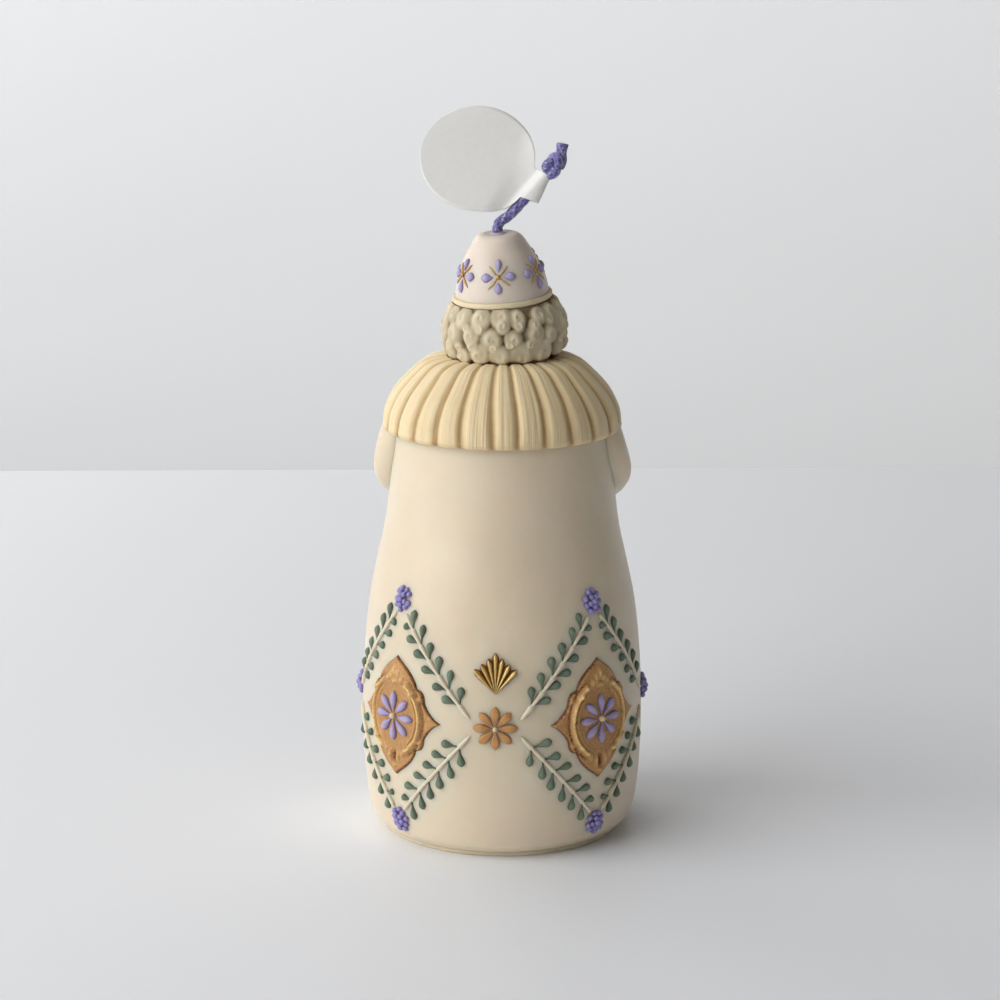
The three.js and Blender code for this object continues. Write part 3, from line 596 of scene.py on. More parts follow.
def wick():
    """The braided wick and its centreline in metres."""
    path = wick_path()
    along = arc_length(path)
    turn = circle(64)[None]
    lean = 2 * np.pi * along[:, None] / BRAID_PITCH
    crossing = np.maximum(np.cos(BRAID_STRANDS * turn + lean), np.cos(BRAID_STRANDS * turn - lean))
    fibre = 0.015 * np.sin(31 * turn + 7 * along[:, None]) + 0.02 * np.sin(3 * turn + 2.3 * along[:, None])
    past_end = along - along[-1]
    in_knot = smoothstep((along - KNOT_STARTS_AT) / 2)
    in_knot = in_knot * (1 - smoothstep((past_end + KNOT_ENDS_BEFORE_CUT) / 1.5))
    tail = 0.14 * smoothstep((past_end + 2) / 2)
    radius = (BRAID_RADIUS + 0.05 * crossing + fibre) * (1 - 0.05 * in_knot + tail)[:, None]
    # Painted shade and highlight: lighter where the strands stand out and on fibre bumps, darker between the
    # strands.
    relief = 0.4 + 0.26 * crossing + 7 * fibre
    made = piece("wick", [tube(path, radius, 64, relief)], COTTON,
                 stands_for=("wick_free_end", "wick_knot"))
    return made, path * MM


# ---- Paper tag: a round label whose neck folds round the wick ----
def tag_frame():
    """The label's own axes: out to its disc, through the paper, and up along the wick."""
    axis = np.array(WICK_AXIS) / np.linalg.norm(WICK_AXIS)
    out = np.array([axis[2], 0, -axis[0]])
    through_wick = np.cross(axis, out)
    roll = math.radians(TAG_ROLL)
    twist = math.radians(TAG_TWIST)
    rolled = through_wick * math.cos(roll) - out * math.sin(roll)
    return np.stack([out * math.cos(roll) + through_wick * math.sin(roll),
                     rolled * math.cos(twist) + axis * math.sin(twist),
                     axis * math.cos(twist) - rolled * math.sin(twist)])


def paper_tag():
    """Two layers of paper: together over the disc, and apart where they pass round the wick."""
    notch = math.sqrt(TAG_RADIUS**2 - TAG_NECK_HALF_WIDTHS[0] ** 2)
    over_disc = notch - (notch + TAG_RADIUS) * np.cos(np.linspace(0, np.pi / 2, 70)) ** 1.2
    over_disc[0] = -TAG_RADIUS + 0.02
    over_neck = notch + (TAG_FOLD_REACH - notch) * np.sin(np.linspace(0, np.pi / 2, 26))[1:]
    reach = np.concatenate([over_disc, over_neck])
    half_width = np.where(reach <= notch, np.sqrt(np.clip(TAG_RADIUS**2 - reach**2, 0, None)),
                          np.interp(reach, [notch, TAG_FOLD_REACH], TAG_NECK_HALF_WIDTHS))
    u = reach[:, None]
    v = half_width[:, None] * np.linspace(-1, 1, 31)[None]
    skew = math.radians(TAG_SKEW)
    out = TAG_CENTRE[0] - u * math.cos(skew) + v * math.sin(skew)
    along = TAG_CENTRE[1] + u * math.sin(skew) + v * math.cos(skew)
    above = (out - TAG_CENTRE[0]) * TAG_UPRIGHT[0] + (along - TAG_CENTRE[1]) * TAG_UPRIGHT[1]
    squash = above * (1 - TAG_SQUASH) * (1 - smoothstep((u - notch + 7) / 7))
    out = out - squash * TAG_UPRIGHT[0]
    along = along - squash * TAG_UPRIGHT[1]
    wick_at = u + out / math.cos(skew)
    rising = GLUED_HALF_GAP + (TAG_FOLD_RADIUS - GLUED_HALF_GAP) * smoothstep((u - wick_at + 2.4) / 2.4)
    falling = TAG_FOLD_RADIUS * np.sqrt(np.clip(1 - ((u - wick_at) / (TAG_FOLD_REACH - wick_at)) ** 2, 0, 1))
    apart = np.where(u < wick_at, rising, falling)
    follow = math.tan(math.radians(TAG_TWIST)) * along * smoothstep((u - 6) / 6)
    curl = 0.5 * (v / TAG_RADIUS) ** 2 - 0.35 * np.sin(2 * u / TAG_RADIUS) * (v / TAG_RADIUS)
    layers = [np.stack([out, follow + curl + side * apart, along], -1) for side in (1, -1)]
    middle = np.concatenate([layers[0], layers[1][-2::-1]])
    normal = np.cross(np.gradient(middle, axis=0), np.gradient(middle, axis=1))
    normal /= np.maximum(np.linalg.norm(normal, axis=-1, keepdims=True), 1e-9)
    half = normal * PAPER_THICKNESS / 2
    faces = [middle + half, (middle - half)[:, ::-1]]
    pivot = np.array(frame["joints"][0]["pos_m"]) / MM
    grid = np.concatenate(faces, 1) @ tag_frame() + pivot
    return piece("tag", [skin(grid)], PAPER, body="tag", stands_for=("paper_tag",))


wick_piece, wick_line = wick()
tag_piece = paper_tag()


# ---- Base and body ----
def base_plate():
    """A thin wax disc whose edge shows as a lip under the body."""
    low, high = (np.array(corner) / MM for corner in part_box("base_plate"))
    radius = high[0]
    turn = circle(240)
    profile = [(radius - 0.3, low[2]), (radius, low[2] + 0.25), (radius, high[2] - 0.25),
               (radius - 0.1, high[2] - 0.05), (radius - 0.4, high[2] + 0.1)]
    wobble = 0.1 * np.sin(3 * turn + 1) + 0.06 * np.sin(11 * turn)
    rings = [np.stack([(r + wobble) * np.cos(turn), (r + wobble) * np.sin(turn), z + 0 * turn], 1)
             for r, z in profile]
    piece("base_disc", [skin(rings)], STEM, stands_for=("base_plate",))


def body():
    """The hollow wax body: a bore for the wick, with a recess under it for the wick's metal foot."""
    radius, top = body_skin[-1]
    crown_z = top + 0.6
    crown = through([(radius, top), (radius - 1.6, top + 0.45), (radius - 3.0, crown_z)], 10)[1:]
    bore = [(BORE_RADIUS, crown_z), (BORE_RADIUS, 50.0), (BORE_RADIUS, NECK_TOP_Z + 0.1)]
    neck = [(NECK_RADIUS, NECK_TOP_Z), (NECK_RADIUS, RECESS_TOP_Z)]
    recess = [(RECESS_RADIUS, RECESS_TOP_Z), (RECESS_RADIUS, body_skin[0, 1])]
    section = np.vstack([bore, neck, recess, body_skin, crown])
    turn = circle(320)[:, None]
    height = section[None, :, 1]
    bumps = 0.05 * np.sin(3 * turn + 0.11 * height) + 0.04 * np.sin(5 * turn - 0.19 * height + 2)
    bumps = bumps * smoothstep((section[None, :, 0] - 12) / 6)
    piece("body_wax", [skin(revolve(section, turn, bumps), closed_rows=True)], CREAM,
          stands_for=("body",))


# ---- Fur trim: rings of curls ----
def curl_field(s, v, around, lumps, rng):
    """Heights from 0 to about 1 of soft curled lumps on a strip that closes on itself after around. lumps
    lists (place round the strip, height on it, size)."""
    merged = np.zeros_like(s)
    for place, row, size in lumps:
        ds = (s - place + around / 2) % around - around / 2
        dv = (v - row) * rng.uniform(0.85, 1.15)
        near = np.hypot(ds, dv) / size
        turn = rng.choice([-1, 1]) * np.arctan2(dv, ds) + rng.uniform(0, 2 * np.pi)
        dome = np.sqrt(np.clip(1 - near**2, 0, 1))
        curl = 0.5 + 0.5 * np.cos(turn - 2 * np.pi * rng.uniform(0.8, 1.2) * near)
        bump = dome * (0.78 + 0.22 * curl * smoothstep(near * 4)) * rng.uniform(0.85, 1.05)
        merged += np.expm1(LUMP_MERGE * bump)
    return np.log1p(merged) / LUMP_MERGE


def curl_rows(around, rows, size, rng):
    """Staggered rows of lumps: rows lists (height on the strip, count)."""
    lumps = []
    for index, (row, count) in enumerate(rows):
        for k in range(count):
            place = (k + 0.5 * (index % 2)) * around / count + rng.uniform(-0.6, 0.6)
            lumps.append((place, row + rng.uniform(-0.5, 0.5), size * rng.uniform(0.8, 1.2)))
    return lumps


def fur_trim():
    """A ring of fur curls round the hat's edge."""
    rng = np.random.default_rng(11)
    low, high = FUR_PROFILE[0][1], FUR_PROFILE[-1][1]
    outer = through(FUR_PROFILE, 130)
    normal = outward_normals(outer)
    v = arc_length(outer)
    around = 2 * np.pi * FUR_RADIUS
    turn = circle(1000)[:, None]
    s = np.broadcast_to(turn * around / (2 * np.pi), (len(turn), len(v)))
    strip = np.broadcast_to(v[None], s.shape)
    tall = v[-1]
    lumps = curl_rows(around, [(0.16 * tall, 17), (0.5 * tall, 17), (0.83 * tall, 18)], 2.7, rng)
    lumps += curl_rows(around, [(0.04 * tall, 16), (0.34 * tall, 20), (0.67 * tall, 20)], 1.5, rng)
    field = curl_field(s, strip, around, lumps, rng)
    lift = 1.3 * field - 0.25
    radius, height = off_skin(outer, normal, lift)
    radius = np.hstack([radius, np.full((len(turn), 3), FUR_BORE)])
    height = np.hstack([height, np.broadcast_to([high, (low + high) / 2, low], (len(turn), 3))])
    grid = about_axis(radius, turn, height)
    # Painted shade: darker down in the crevices between the curls, and darkest on the hidden rows inside the
    # trim.
    relief = np.hstack([smoothstep((field - 0.25) / 0.75), np.zeros((len(turn), 3))])
    piece("fur_curls", [skin(on_hat(grid), closed_rows=True, relief=relief)], FUR,
          stands_for=("fur_trim",))


def hat_band():
    """A flat-sided cord with a ragged edge."""
    rng = np.random.default_rng(5)
    turn = circle(480)[:, None]
    a = circle(28)[None]
    ragged = smooth_noise(rng, 90, 480)[:, None] * smooth_window(480)
    flat = np.sign(np.cos(a)) * np.abs(np.cos(a)) ** 0.5
    squared = np.sign(np.sin(a)) * np.abs(np.sin(a)) ** 0.6
    half_width = (BAND_OUTER - BAND_INNER) / 2
    half_height = (BAND_TOP_Z - BAND_BOTTOM_Z) / 2
    radius = (BAND_INNER + BAND_OUTER) / 2 + half_width * flat + 0.05 * ragged * flat
    height = (BAND_BOTTOM_Z + BAND_TOP_Z) / 2 + half_height * squared * (1 + 0.12 * ragged * np.sin(a))
    grid = on_hat(about_axis(radius, turn, height))
    # Painted shade: the cord's outer face lighter, and its inner face against the dome darker.
    piece("hat_cord", [skin(grid, closed_rows=True, relief=0.6 + 0.3 * np.cos(a) + 0 * turn)], BAND,
          stands_for=("hat_band",))


def smooth_window(count):
    """A column that fades to nothing at both ends, so that a random curve closes on itself."""
    t = np.linspace(0, 1, count)[:, None]
    return smoothstep(t * 12) * smoothstep((1 - t) * 12)


def hat_dome():
    """The hat's cap, with a small dip round the wick."""
    dip = [(2.3, 126.35), (1.8, 126.3), (1.45, 126.45), (1.2, 126.75)]
    crown = through([tuple(dome_skin[-1])] + dip, 18)[1:]
    section = np.vstack([[(1.1, 126.4), (1.1, 111.2), (9.3, 111.2)], dome_skin, crown])
    turn = circle(260)[:, None]
    height = section[None, :, 1]
    outside = smoothstep((section[None, :, 0] - 2) / 3) * (height > DOME_PROFILE[0][1] - 0.8)
    bumps = (0.10 * np.sin(2 * turn + 0.7) + 0.06 * np.sin(5 * turn + height * 0.7)) * outside
    grid = revolve(section, turn, bumps)
    relief = np.broadcast_to(smoothstep((section[:, 0] - 1.2) / 3.4)[None], grid.shape[:2])
    piece("hat_crown", [skin(on_hat(grid), closed_rows=True, relief=relief)], HAT,
          stands_for=("hat_dome",))


# ---- Flat soft shapes for leaves and petals ----
def club(t, taper=1.9):
    """Half width of a club from its stalk, t = 0, to its round end, t = 1."""
    return np.sin(np.pi * np.clip(t, 0, 1) ** taper) ** 0.72


def pillow(length, width, height, taper=1.9, start=0.0, rows=18, columns=16, sink=0.3, hollow=0.0,
           stalk=0.1):
    """(grid, relief) of a petal or leaf along x. start is where its stalk begins; hollow presses its middle
    in, and stalk is the stalk's share of the width."""
    t = 0.5 - 0.5 * np.cos(np.linspace(0.16, np.pi - 0.1, rows))
    half = np.maximum(club(t, taper), stalk * smoothstep((1 - t) * 9))
    half = half[:, None]
    across = np.cos(circle(columns))[None]
    above = np.sin(circle(columns))[None]
    y = width / 2 * half * across
    crest = above * (1 - hollow * bell(across / 0.45) * (above > 0))
    z = np.where(above > 0, height * half**0.8 * crest, sink * above)
    x = start + (length - start) * np.broadcast_to(t[:, None], y.shape)
    # Painted shade and highlight: lighter along the top crest and the wide part, darker down the sides,
    # underneath and along the narrow stalk; on leaves this also stands for their darker painted edges.
    relief = (0.25 + 0.5 * np.clip(above, 0, 1)) * (0.55 + 0.45 * half)
    return np.stack([x, y, z], -1), relief


def turned(grid, degrees, at=(0.0, 0.0)):
    """A flat grid turned in its own plane, then moved."""
    turn = math.radians(degrees)
    x = grid[..., 0] * math.cos(turn) - grid[..., 1] * math.sin(turn) + at[0]
    y = grid[..., 0] * math.sin(turn) + grid[..., 1] * math.cos(turn) + at[1]
    return np.stack([x, y, grid[..., 2]], -1)


def rosette(petals, length, width, height, lay, start=0.5, taper=1.9, first=90.0, hollow=0.0):
    """Petals round a point. lay puts a flat grid where it belongs."""
    parts = []
    for k in range(petals):
        grid, relief = pillow(length, width, height, taper, start, hollow=hollow)
        parts.append(skin(lay(turned(grid, first + k * 360 / petals)), relief=relief))
    return parts


# ---- Sprigs ----
def sprig(across, up, angle, label):
    """A stem with a pair of leaves at each node, on one quarter of a diamond."""
    degree = UNROLLED_RADIUS * math.pi / 180
    rng = np.random.default_rng(seed_of(label))
    rise = SPRIG_TOP_Z - WAIST_Z if up > 0 else WAIST_Z - SPRIG_BOTTOM_Z
    start = np.array([SPRIG_INNER * degree, SPRIG_WAIST_GAP])
    end = np.array([SPRIG_OUTER * degree, rise])
    leaf_turns = LEAF_TURNS_ABOVE if up > 0 else LEAF_TURNS_BELOW
    flip = np.array([across, up, 1.0])
    leaves = []
    for i in range(SPRIG_NODES):
        node_at = start + (end - start) * (i + 1) / (SPRIG_NODES + 1) + rng.uniform(-0.12, 0.12, 2)
        for direction in leaf_turns:
            last = i == SPRIG_NODES - 1 and direction == leaf_turns[1]
            length = LEAF_LENGTH * rng.uniform(0.9, 1.06) * (0.66 if last else 1.0)
            width = LEAF_WIDTH * rng.uniform(0.92, 1.1) * (0.85 if last else 1.0)
            grid, relief = pillow(length, width, LEAF_RISE, 2.6, rows=22, columns=18, stalk=0.26)
            grid = turned(grid, direction + rng.uniform(-5, 5), node_at) * flip
            leaves.append(skin(wrap(grid, angle, WAIST_Z), relief=relief + rng.uniform(-0.12, 0.12)))
    piece("leaves_" + label, leaves, LEAF, stands_for=("sprig_" + label,))
    piece("stem_" + label, [stem(start, end, flip, angle)], STEM)


def seed_of(label):
    """A number for a label that is the same in every run."""
    return sum((i + 1) * ord(letter) for i, letter in enumerate(label))


def stem(start, end, flip, angle):
    """A ridged stalk that swells a little at each node."""
    t = np.linspace(0, 1, 150)
    line = start + (end - start) * t[:, None]
    along = (end - start) / np.linalg.norm(end - start)
    beside = np.array([along[1], -along[0]])
    since_node = t * (SPRIG_NODES + 1) % 1
    swell = STEM_HALF_WIDTH * (0.78 + 0.5 * since_node**1.5 * smoothstep((1 - since_node) * 12))
    swell = swell * smoothstep(t * 18 + 0.25) * smoothstep((1 - t) * 18 + 0.25)
    swell = swell[:, None]
    a = circle(12)
    section = np.where(np.sin(a) > 0, 0.6 * np.abs(np.sin(a)) ** 0.8, -0.3)[None]
    z = section * (swell / 0.42) ** 0.5
    xy = line[:, None] + (swell * np.cos(a)[None])[..., None] * beside
    grid = np.concatenate([xy, z[..., None]], -1)
    # Painted shade: the stalk's top lighter and its underside darker.
    return skin(wrap(grid * flip, angle, WAIST_Z), relief=0.5 + 0.3 * np.sin(a)[None] + 0 * t[:, None])


# ---- Medallions ----
def medallion_reach(turn):
    """Distance from the middle of a medallion to its edge, in a direction."""
    edge = through(MEDALLION_QUARTER, 60)
    angle = np.arctan2(edge[:, 1], edge[:, 0])
    quarter = np.arctan2(np.abs(np.sin(turn)), np.abs(np.cos(turn)))
    return np.interp(quarter, angle, np.hypot(edge[:, 0], edge[:, 1]))


def medallion(index, angle):
    """A slab with a scalloped edge, raised arcs and small bosses."""
    columns = 240
    turn = circle(columns)[None]
    share = np.concatenate([np.linspace(0.01, 0.9, 56), np.linspace(0.915, 1.0, 14)])[:, None]
    reach = medallion_reach(turn)
    x = share * reach * np.cos(turn)
    y = share * reach * np.sin(turn)
    inside = (1 - share) * reach * 0.82
    height = MEDALLION_RISE * smoothstep(0.08 + inside / 0.55)
    beside = smoothstep((np.abs(x) - 2.6) / 1.8)
    for ring, tall, wide in MEDALLION_RINGS:
        height = height + tall * bell((np.hypot(x, y / 1.18) - ring) / wide) * beside
    for cx, cy, sx, sy, tall in MEDALLION_BLOBS:
        for sign in ((1, -1) if cx else (1,)):
            height = height + BOSS_RISE * tall * bell(np.hypot((x - sign * cx) / sx, (y - cy) / sy))
    # Colour: raised arcs and bosses lighter and the low ground darker, for the paint's rubbed gold and
    # darker wash and also as painted highlight and painted shade; the next line darkens the rim a little as
    # painted shade.
    relief = np.clip(0.38 + 0.85 * (height - MEDALLION_RISE), 0, 1)
    relief = relief * (0.92 + 0.08 * smoothstep(inside / 0.4))
    front = np.stack([x, y, height], -1)
    back = np.stack([x[[-1, 0]], y[[-1, 0]], np.full((2, columns), -0.4)], -1)
    grid = wrap(np.concatenate([front, back]), angle, WAIST_Z)
    relief = np.vstack([relief, np.full((2, columns), 0.4)])
    piece(f"medallion_relief_{index}", [skin(grid, relief=relief)], OCHRE,
          stands_for=(f"medallion_{index}",))


def daisy(index, angle):
    """Eight petals and a bead on a medallion."""
    lift = MEDALLION_RISE + 0.06

    def lay(grid):
        return wrap(grid, angle, WAIST_Z, lift)

    parts = rosette(8, DAISY_RADIUS, 1.75, 0.85, lay, start=0.7, taper=1.7)
    piece(f"daisy_petals_{index}", parts, LAVENDER, stands_for=(f"daisy_{index}",))
    bead = skin(lay(ball((0, 0, 0.35), (0.62, 0.62, 0.7))))
    piece(f"daisy_bead_{index}", [bead], BAND)


def berries(name, angle, height, node_name):
    """A heap of small round berries."""
    rng = np.random.default_rng(seed_of(name))
    places = [(0.0, 0.0, 0.95)]
    for count, reach, lift in ((5, 1.0, 0.72), (9, 1.92, 0.3)):
        first = rng.uniform(0, 360)
        for k in range(count):
            turn = math.radians(first + k * 360 / count + rng.uniform(-9, 9))
            r = reach * rng.uniform(0.9, 1.08)
            places.append((r * math.cos(turn), 1.12 * r * math.sin(turn), lift * rng.uniform(0.85, 1.1)))
    parts = []
    lit_top = 0.15 + 0.6 * smoothstep(np.linspace(1, 0, 10)[:, None] * 1.2)
    for x, y, z in places:
        size = rng.uniform(0.56, 0.7)
        relief = np.broadcast_to(lit_top, (10, 14))
        parts.append(skin(wrap(ball((x, y, z), (size, size, size)), angle, height), relief=relief))
    piece(name, parts, BERRY, stands_for=(node_name,))


# ---- Flowers and fans on the middle of the back and front ----
def middle_flower(label, angle):
    """Eight dimpled petals and a bead where two diamonds meet."""
    def lay(grid):
        return wrap(grid, angle, WAIST_Z)

    parts = rosette(8, FLOWER_RADIUS, 1.9, 0.95, lay, start=0.3, taper=1.6, hollow=0.35)
    piece("flower_petals_" + label, parts, ROSE, stands_for=("flower_" + label,))
    bead = skin(lay(ball((0, 0, 0.75), (0.5, 0.5, 0.5))))
    piece("flower_bead_" + label, [bead], BAND)


def gold_fan(label, angle):
    """Sharp ribs that spread from one foot, side by side; their tips make a low gable."""
    foot = np.array([0.0, -FAN_HEIGHT / 2])
    t = np.linspace(0, 1, 34)
    a = circle(16)
    ridge = np.clip(1 - np.abs(np.cos(a)), 0, 1) ** 0.9
    parts = []
    for k in range(FAN_RIBS):
        lean = (k - (FAN_RIBS - 1) / 2) / ((FAN_RIBS - 1) / 2)
        tip = np.array([FAN_HALF_WIDTH * lean, FAN_HEIGHT - (FAN_HEIGHT - FAN_SHOULDER) * abs(lean)])
        length = np.hypot(*tip)
        half = (0.1 + 0.8 * t) * np.clip((1.001 - t) / 0.14, 0, 1) ** 0.8
        y = half[:, None] * np.cos(a)[None]
        z = np.where(np.sin(a) > 0, 1.0 * ridge, -0.3)[None] * (0.45 + 0.6 * t[:, None])
        x = np.broadcast_to((length * t)[:, None], y.shape)
        grid = turned(np.stack([x, y, z], -1), math.degrees(math.atan2(tip[1], tip[0])), foot)
        # Painted highlight and shade: each rib lighter along its crest, darker down its flanks and
        # underneath.
        relief = np.broadcast_to(np.where(np.sin(a) > 0, ridge, 0)[None], y.shape)
        parts.append(skin(wrap(grid, angle, FAN_Z), relief=relief))
    piece("fan_ribs_" + label, parts, GOLD, stands_for=("gold_fan_" + label,))


# ---- Flowers on the hat ----
def hat_flowers():
    """Flowers of four petals and four painted strokes, each with a bead."""
    for k in range(HAT_FLOWERS):
        angle = k * 360 / HAT_FLOWERS
        rng = np.random.default_rng(31 + k)

        def lay(grid):
            return lay_on_dome(grid, angle, HAT_FLOWER_Z)

        petals = []
        strokes = []
        for quarter in range(4):
            width = 1.45 if quarter % 2 == 0 else 1.9
            grid, relief = pillow(3.7 * rng.uniform(0.94, 1.05), width, 0.6, 1.5, start=0.9, sink=0.2)
            petals.append(skin(lay(turned(grid, 90 * (quarter + 1) + rng.uniform(-4, 4))), relief=relief))
            grid, relief = pillow(3.3, 0.52, 0.34, 0.9, start=0.15, rows=12, columns=10, sink=0.2)
            strokes.append(skin(lay(turned(grid, 45 + 90 * quarter + rng.uniform(-4, 4))), relief=relief))
        piece(f"hat_petals_{k + 1}", petals, LAVENDER)
        piece(f"hat_strokes_{k + 1}", strokes, OCHRE)
        bead = skin(lay(ball((0, 0, 0.3), (0.5, 0.5, 0.34))))
        piece(f"hat_bead_{k + 1}", [bead], GOLD)


# ---- Hair and beard ----
def rib_edges(rng, ribs, spread):
    """Where the grooves between ribs lie, from 0 to 1, unevenly."""
    widths = rng.uniform(1 - spread, 1 + spread, ribs)
    return np.concatenate([[0], np.cumsum(widths)]) / widths.sum()


def comb(u, t, edges, rng):
    """Heights of ribs, from -1 to 0, and of fine strands, from -1 to 1, over u across and t along hair."""
    ribs = len(edges) - 1
    rib = np.clip(np.searchsorted(edges, u, side="right") - 1, 0, ribs - 1)
    phase = (u - edges[rib]) / np.diff(edges)[rib]
    groove = rng.uniform(0.12, 0.17, ribs)[rib]
    crest = 1 - bell(np.minimum(phase, 1 - phase) / groove) + 0.1 * bell((phase - 0.3) / 0.1)
    second = rng.uniform(0.45, 0.72, ribs)[rib]
    second_depth = rng.uniform(-0.1, 0.2, ribs)[rib]
    crest = crest - second_depth * bell((phase - second) / 0.08) * smoothstep((t - 0.1) / 0.5)
    fine = np.zeros_like(crest)
    for knots, share in ((18 * len(edges), 0.55), (34 * len(edges), 0.45)):
        early = smooth_noise(rng, knots, len(u))[:, None]
        late = smooth_noise(rng, knots, len(u))[:, None]
        fine = fine + share * (early * (1 - t) + late * t)
    return crest - 1, fine


def hair():
    """Ribs of hair from the hat to a thick hem over the shoulders, open at the face."""
    rng = np.random.default_rng(3)
    columns = 1300
    outer = through(HAIR_OUTER, 72)
    inner = through(HAIR_INNER, 16)
    t = (arc_length(outer) / arc_length(outer)[-1])[None]
    u = np.broadcast_to(np.linspace(0, 1, columns)[:, None], (columns, len(outer)))
    drift = 0.0015 * np.sin(2 * np.pi * t + 23 * u) * smoothstep(u * 20) * smoothstep((1 - u) * 20)
    ribs, fine = comb(np.clip(u + drift, 0, 1), t, rib_edges(rng, HAIR_RIBS, 0.16), rng)
    depth = (0.36 + 0.42 * t) * (1 - 0.45 * smoothstep((t - 0.86) / 0.14))
    lift = depth * ribs + 0.065 * fine * smoothstep(t * 6)
    radius, height = off_skin(outer, outward_normals(outer), lift)
    # Painted shade: darker down the grooves between the ribs and between the fine strands.
    relief = np.clip(0.9 + 0.8 * ribs * (0.6 + 0.4 * t) + 0.12 * fine, 0, 1)
    hem_lift = lift[:, -1:]
    hem_turn = np.radians(np.linspace(10, 170, 9))[None]
    hem_middle = (outer[-1, 0] + inner[0, 0]) / 2
    hem_half = (outer[-1, 0] - inner[0, 0]) / 2
    hem_radius = hem_middle + (hem_half + hem_lift / 2) * np.cos(hem_turn) + hem_lift / 2
    hem_height = inner[0, 1] - (0.95 + 0.12 * (1 + ribs[:, -1:])) * np.sin(hem_turn)
    # Painted shade: the rolled hem a little darker than the ribs above it, and the hidden inside under the
    # hair darker still.
    hem_relief = np.broadcast_to(relief[:, -1:] * 0.8, hem_radius.shape)
    inner_shape = (columns, len(inner))
    radius = np.hstack([radius, hem_radius, np.broadcast_to(inner[None, :, 0], inner_shape)])
    height = np.hstack([height, hem_height, np.broadcast_to(inner[None, :, 1], inner_shape)])
    relief = np.hstack([relief, hem_relief, np.full(inner_shape, 0.3)])
    turn = np.radians(np.linspace(-HAIR_HALF_ANGLE, HAIR_HALF_ANGLE, columns))[:, None]
    grid = about_axis(radius, turn, height)
    piece("hair_ribs", [skin(grid, relief=relief)], HAIR, stands_for=("hair",))


def beard():
    """Combed locks that fall from the cheeks and end in a rounded point on the chest."""
    rng = np.random.default_rng(8)
    columns, rows = 760, 110
    side = np.linspace(-1, 1, columns)[:, None]
    t = np.linspace(0, 1, rows)[None]
    top = BEARD_TOP_Z - 2.6 * np.cos(np.pi / 2 * side) ** 2
    hem = BEARD_END_Z + 13.0 * np.abs(side) ** 1.7
    gathered = np.sign(side) * np.abs(side) ** 1.35
    wave = 0.012 * np.sin(2 * np.pi * (1.5 * t + 1.3 * side)) * t
    place = side + (gathered - side) * t**1.5 + wave * (1 - side**2)
    angle = np.radians(180 + BEARD_HALF_ANGLE * place)
    height = top + (hem - top) * t
    under_radius = body_radius(height) + 0.6
    edges = rib_edges(rng, BEARD_RIBS, 0.2)
    ribs, fine = comb(np.broadcast_to((side + 1) / 2, height.shape), t, edges, rng)
    full = np.sin(np.pi * (0.14 + 0.62 * t)) ** 0.8
    thick = (1.2 + 2.2 * full) * (0.75 + 0.25 * np.cos(np.pi / 2 * side))
    end = 1 - smoothstep((t - 0.93) / 0.07) ** 2 * 0.7
    radius = under_radius + thick * end + 0.9 * ribs * (0.35 + 0.65 * t) + 0.08 * fine
    # Painted shade: darker down the grooves between the locks and between the fine strands; the hidden back
    # below is darker still.
    relief = np.clip(0.92 + 0.75 * ribs * (0.4 + 0.6 * t) + 0.13 * fine, 0, 1)
    back = under_radius[:, ::-6] - 0.5
    radius = np.hstack([radius, back])
    height = np.hstack([height, height[:, ::-6]])
    angle = np.hstack([angle, angle[:, ::-6]])
    relief = np.hstack([relief, np.full(back.shape, 0.3)])
    piece("beard_locks", [skin(about_axis(radius, angle, height), relief=relief)], HAIR,
          stands_for=("beard",))


# ---- Head and face ----
def head():
    """A round face with cheeks, eye hollows, brows and a nose bridge, fused to the skull under the hat."""
    unit = ball((0, 0, 0), (1, 1, 1), 110, 200)
    points = np.array(FACE_CENTRE) + unit * np.array(FACE_RADII)
    x, y, z = (points[..., k] for k in range(3))
    front = smoothstep((-y - 9) / 5)
    push = np.zeros_like(x)
    for out, mid_x, mid_z, half_width, half_height in FACE_FORMS:
        for sign in ((1, -1) if mid_x else (1,)):
            push = push + out * bell(np.hypot((x - sign * mid_x) / half_width, (z - mid_z) / half_height))
    face = skin(points + unit * (push * front)[..., None])
    turn = circle(120)
    rings = [np.stack([radius * np.cos(turn), radius * np.sin(turn), np.full(120, height)], 1)
             for radius, height in SKULL_PROFILE]
    made = piece("face", [face, skin(rings)], SKIN, stands_for=("head",))
    fuse = made.modifiers.new("fuse", "REMESH")
    fuse.mode = "VOXEL"
    fuse.voxel_size = 0.25 * MM
    fuse.use_smooth_shade = True
    smooth = made.modifiers.new("smooth", "SMOOTH")
    smooth.iterations = 4


def on_face(x, z, lift=0.0):
    """A point on the front of the face's plain ellipsoid, lifted along its normal."""
    centre, radii = np.array(FACE_CENTRE), np.array(FACE_RADII)
    flat = (np.array([x, z]) - centre[[0, 2]]) / radii[[0, 2]]
    y = centre[1] - radii[1] * math.sqrt(max(0.0, 1 - flat @ flat))
    normal = (np.array([x, y, z]) - centre) / radii**2
    return np.array([x, y, z]) + lift * normal / np.linalg.norm(normal)


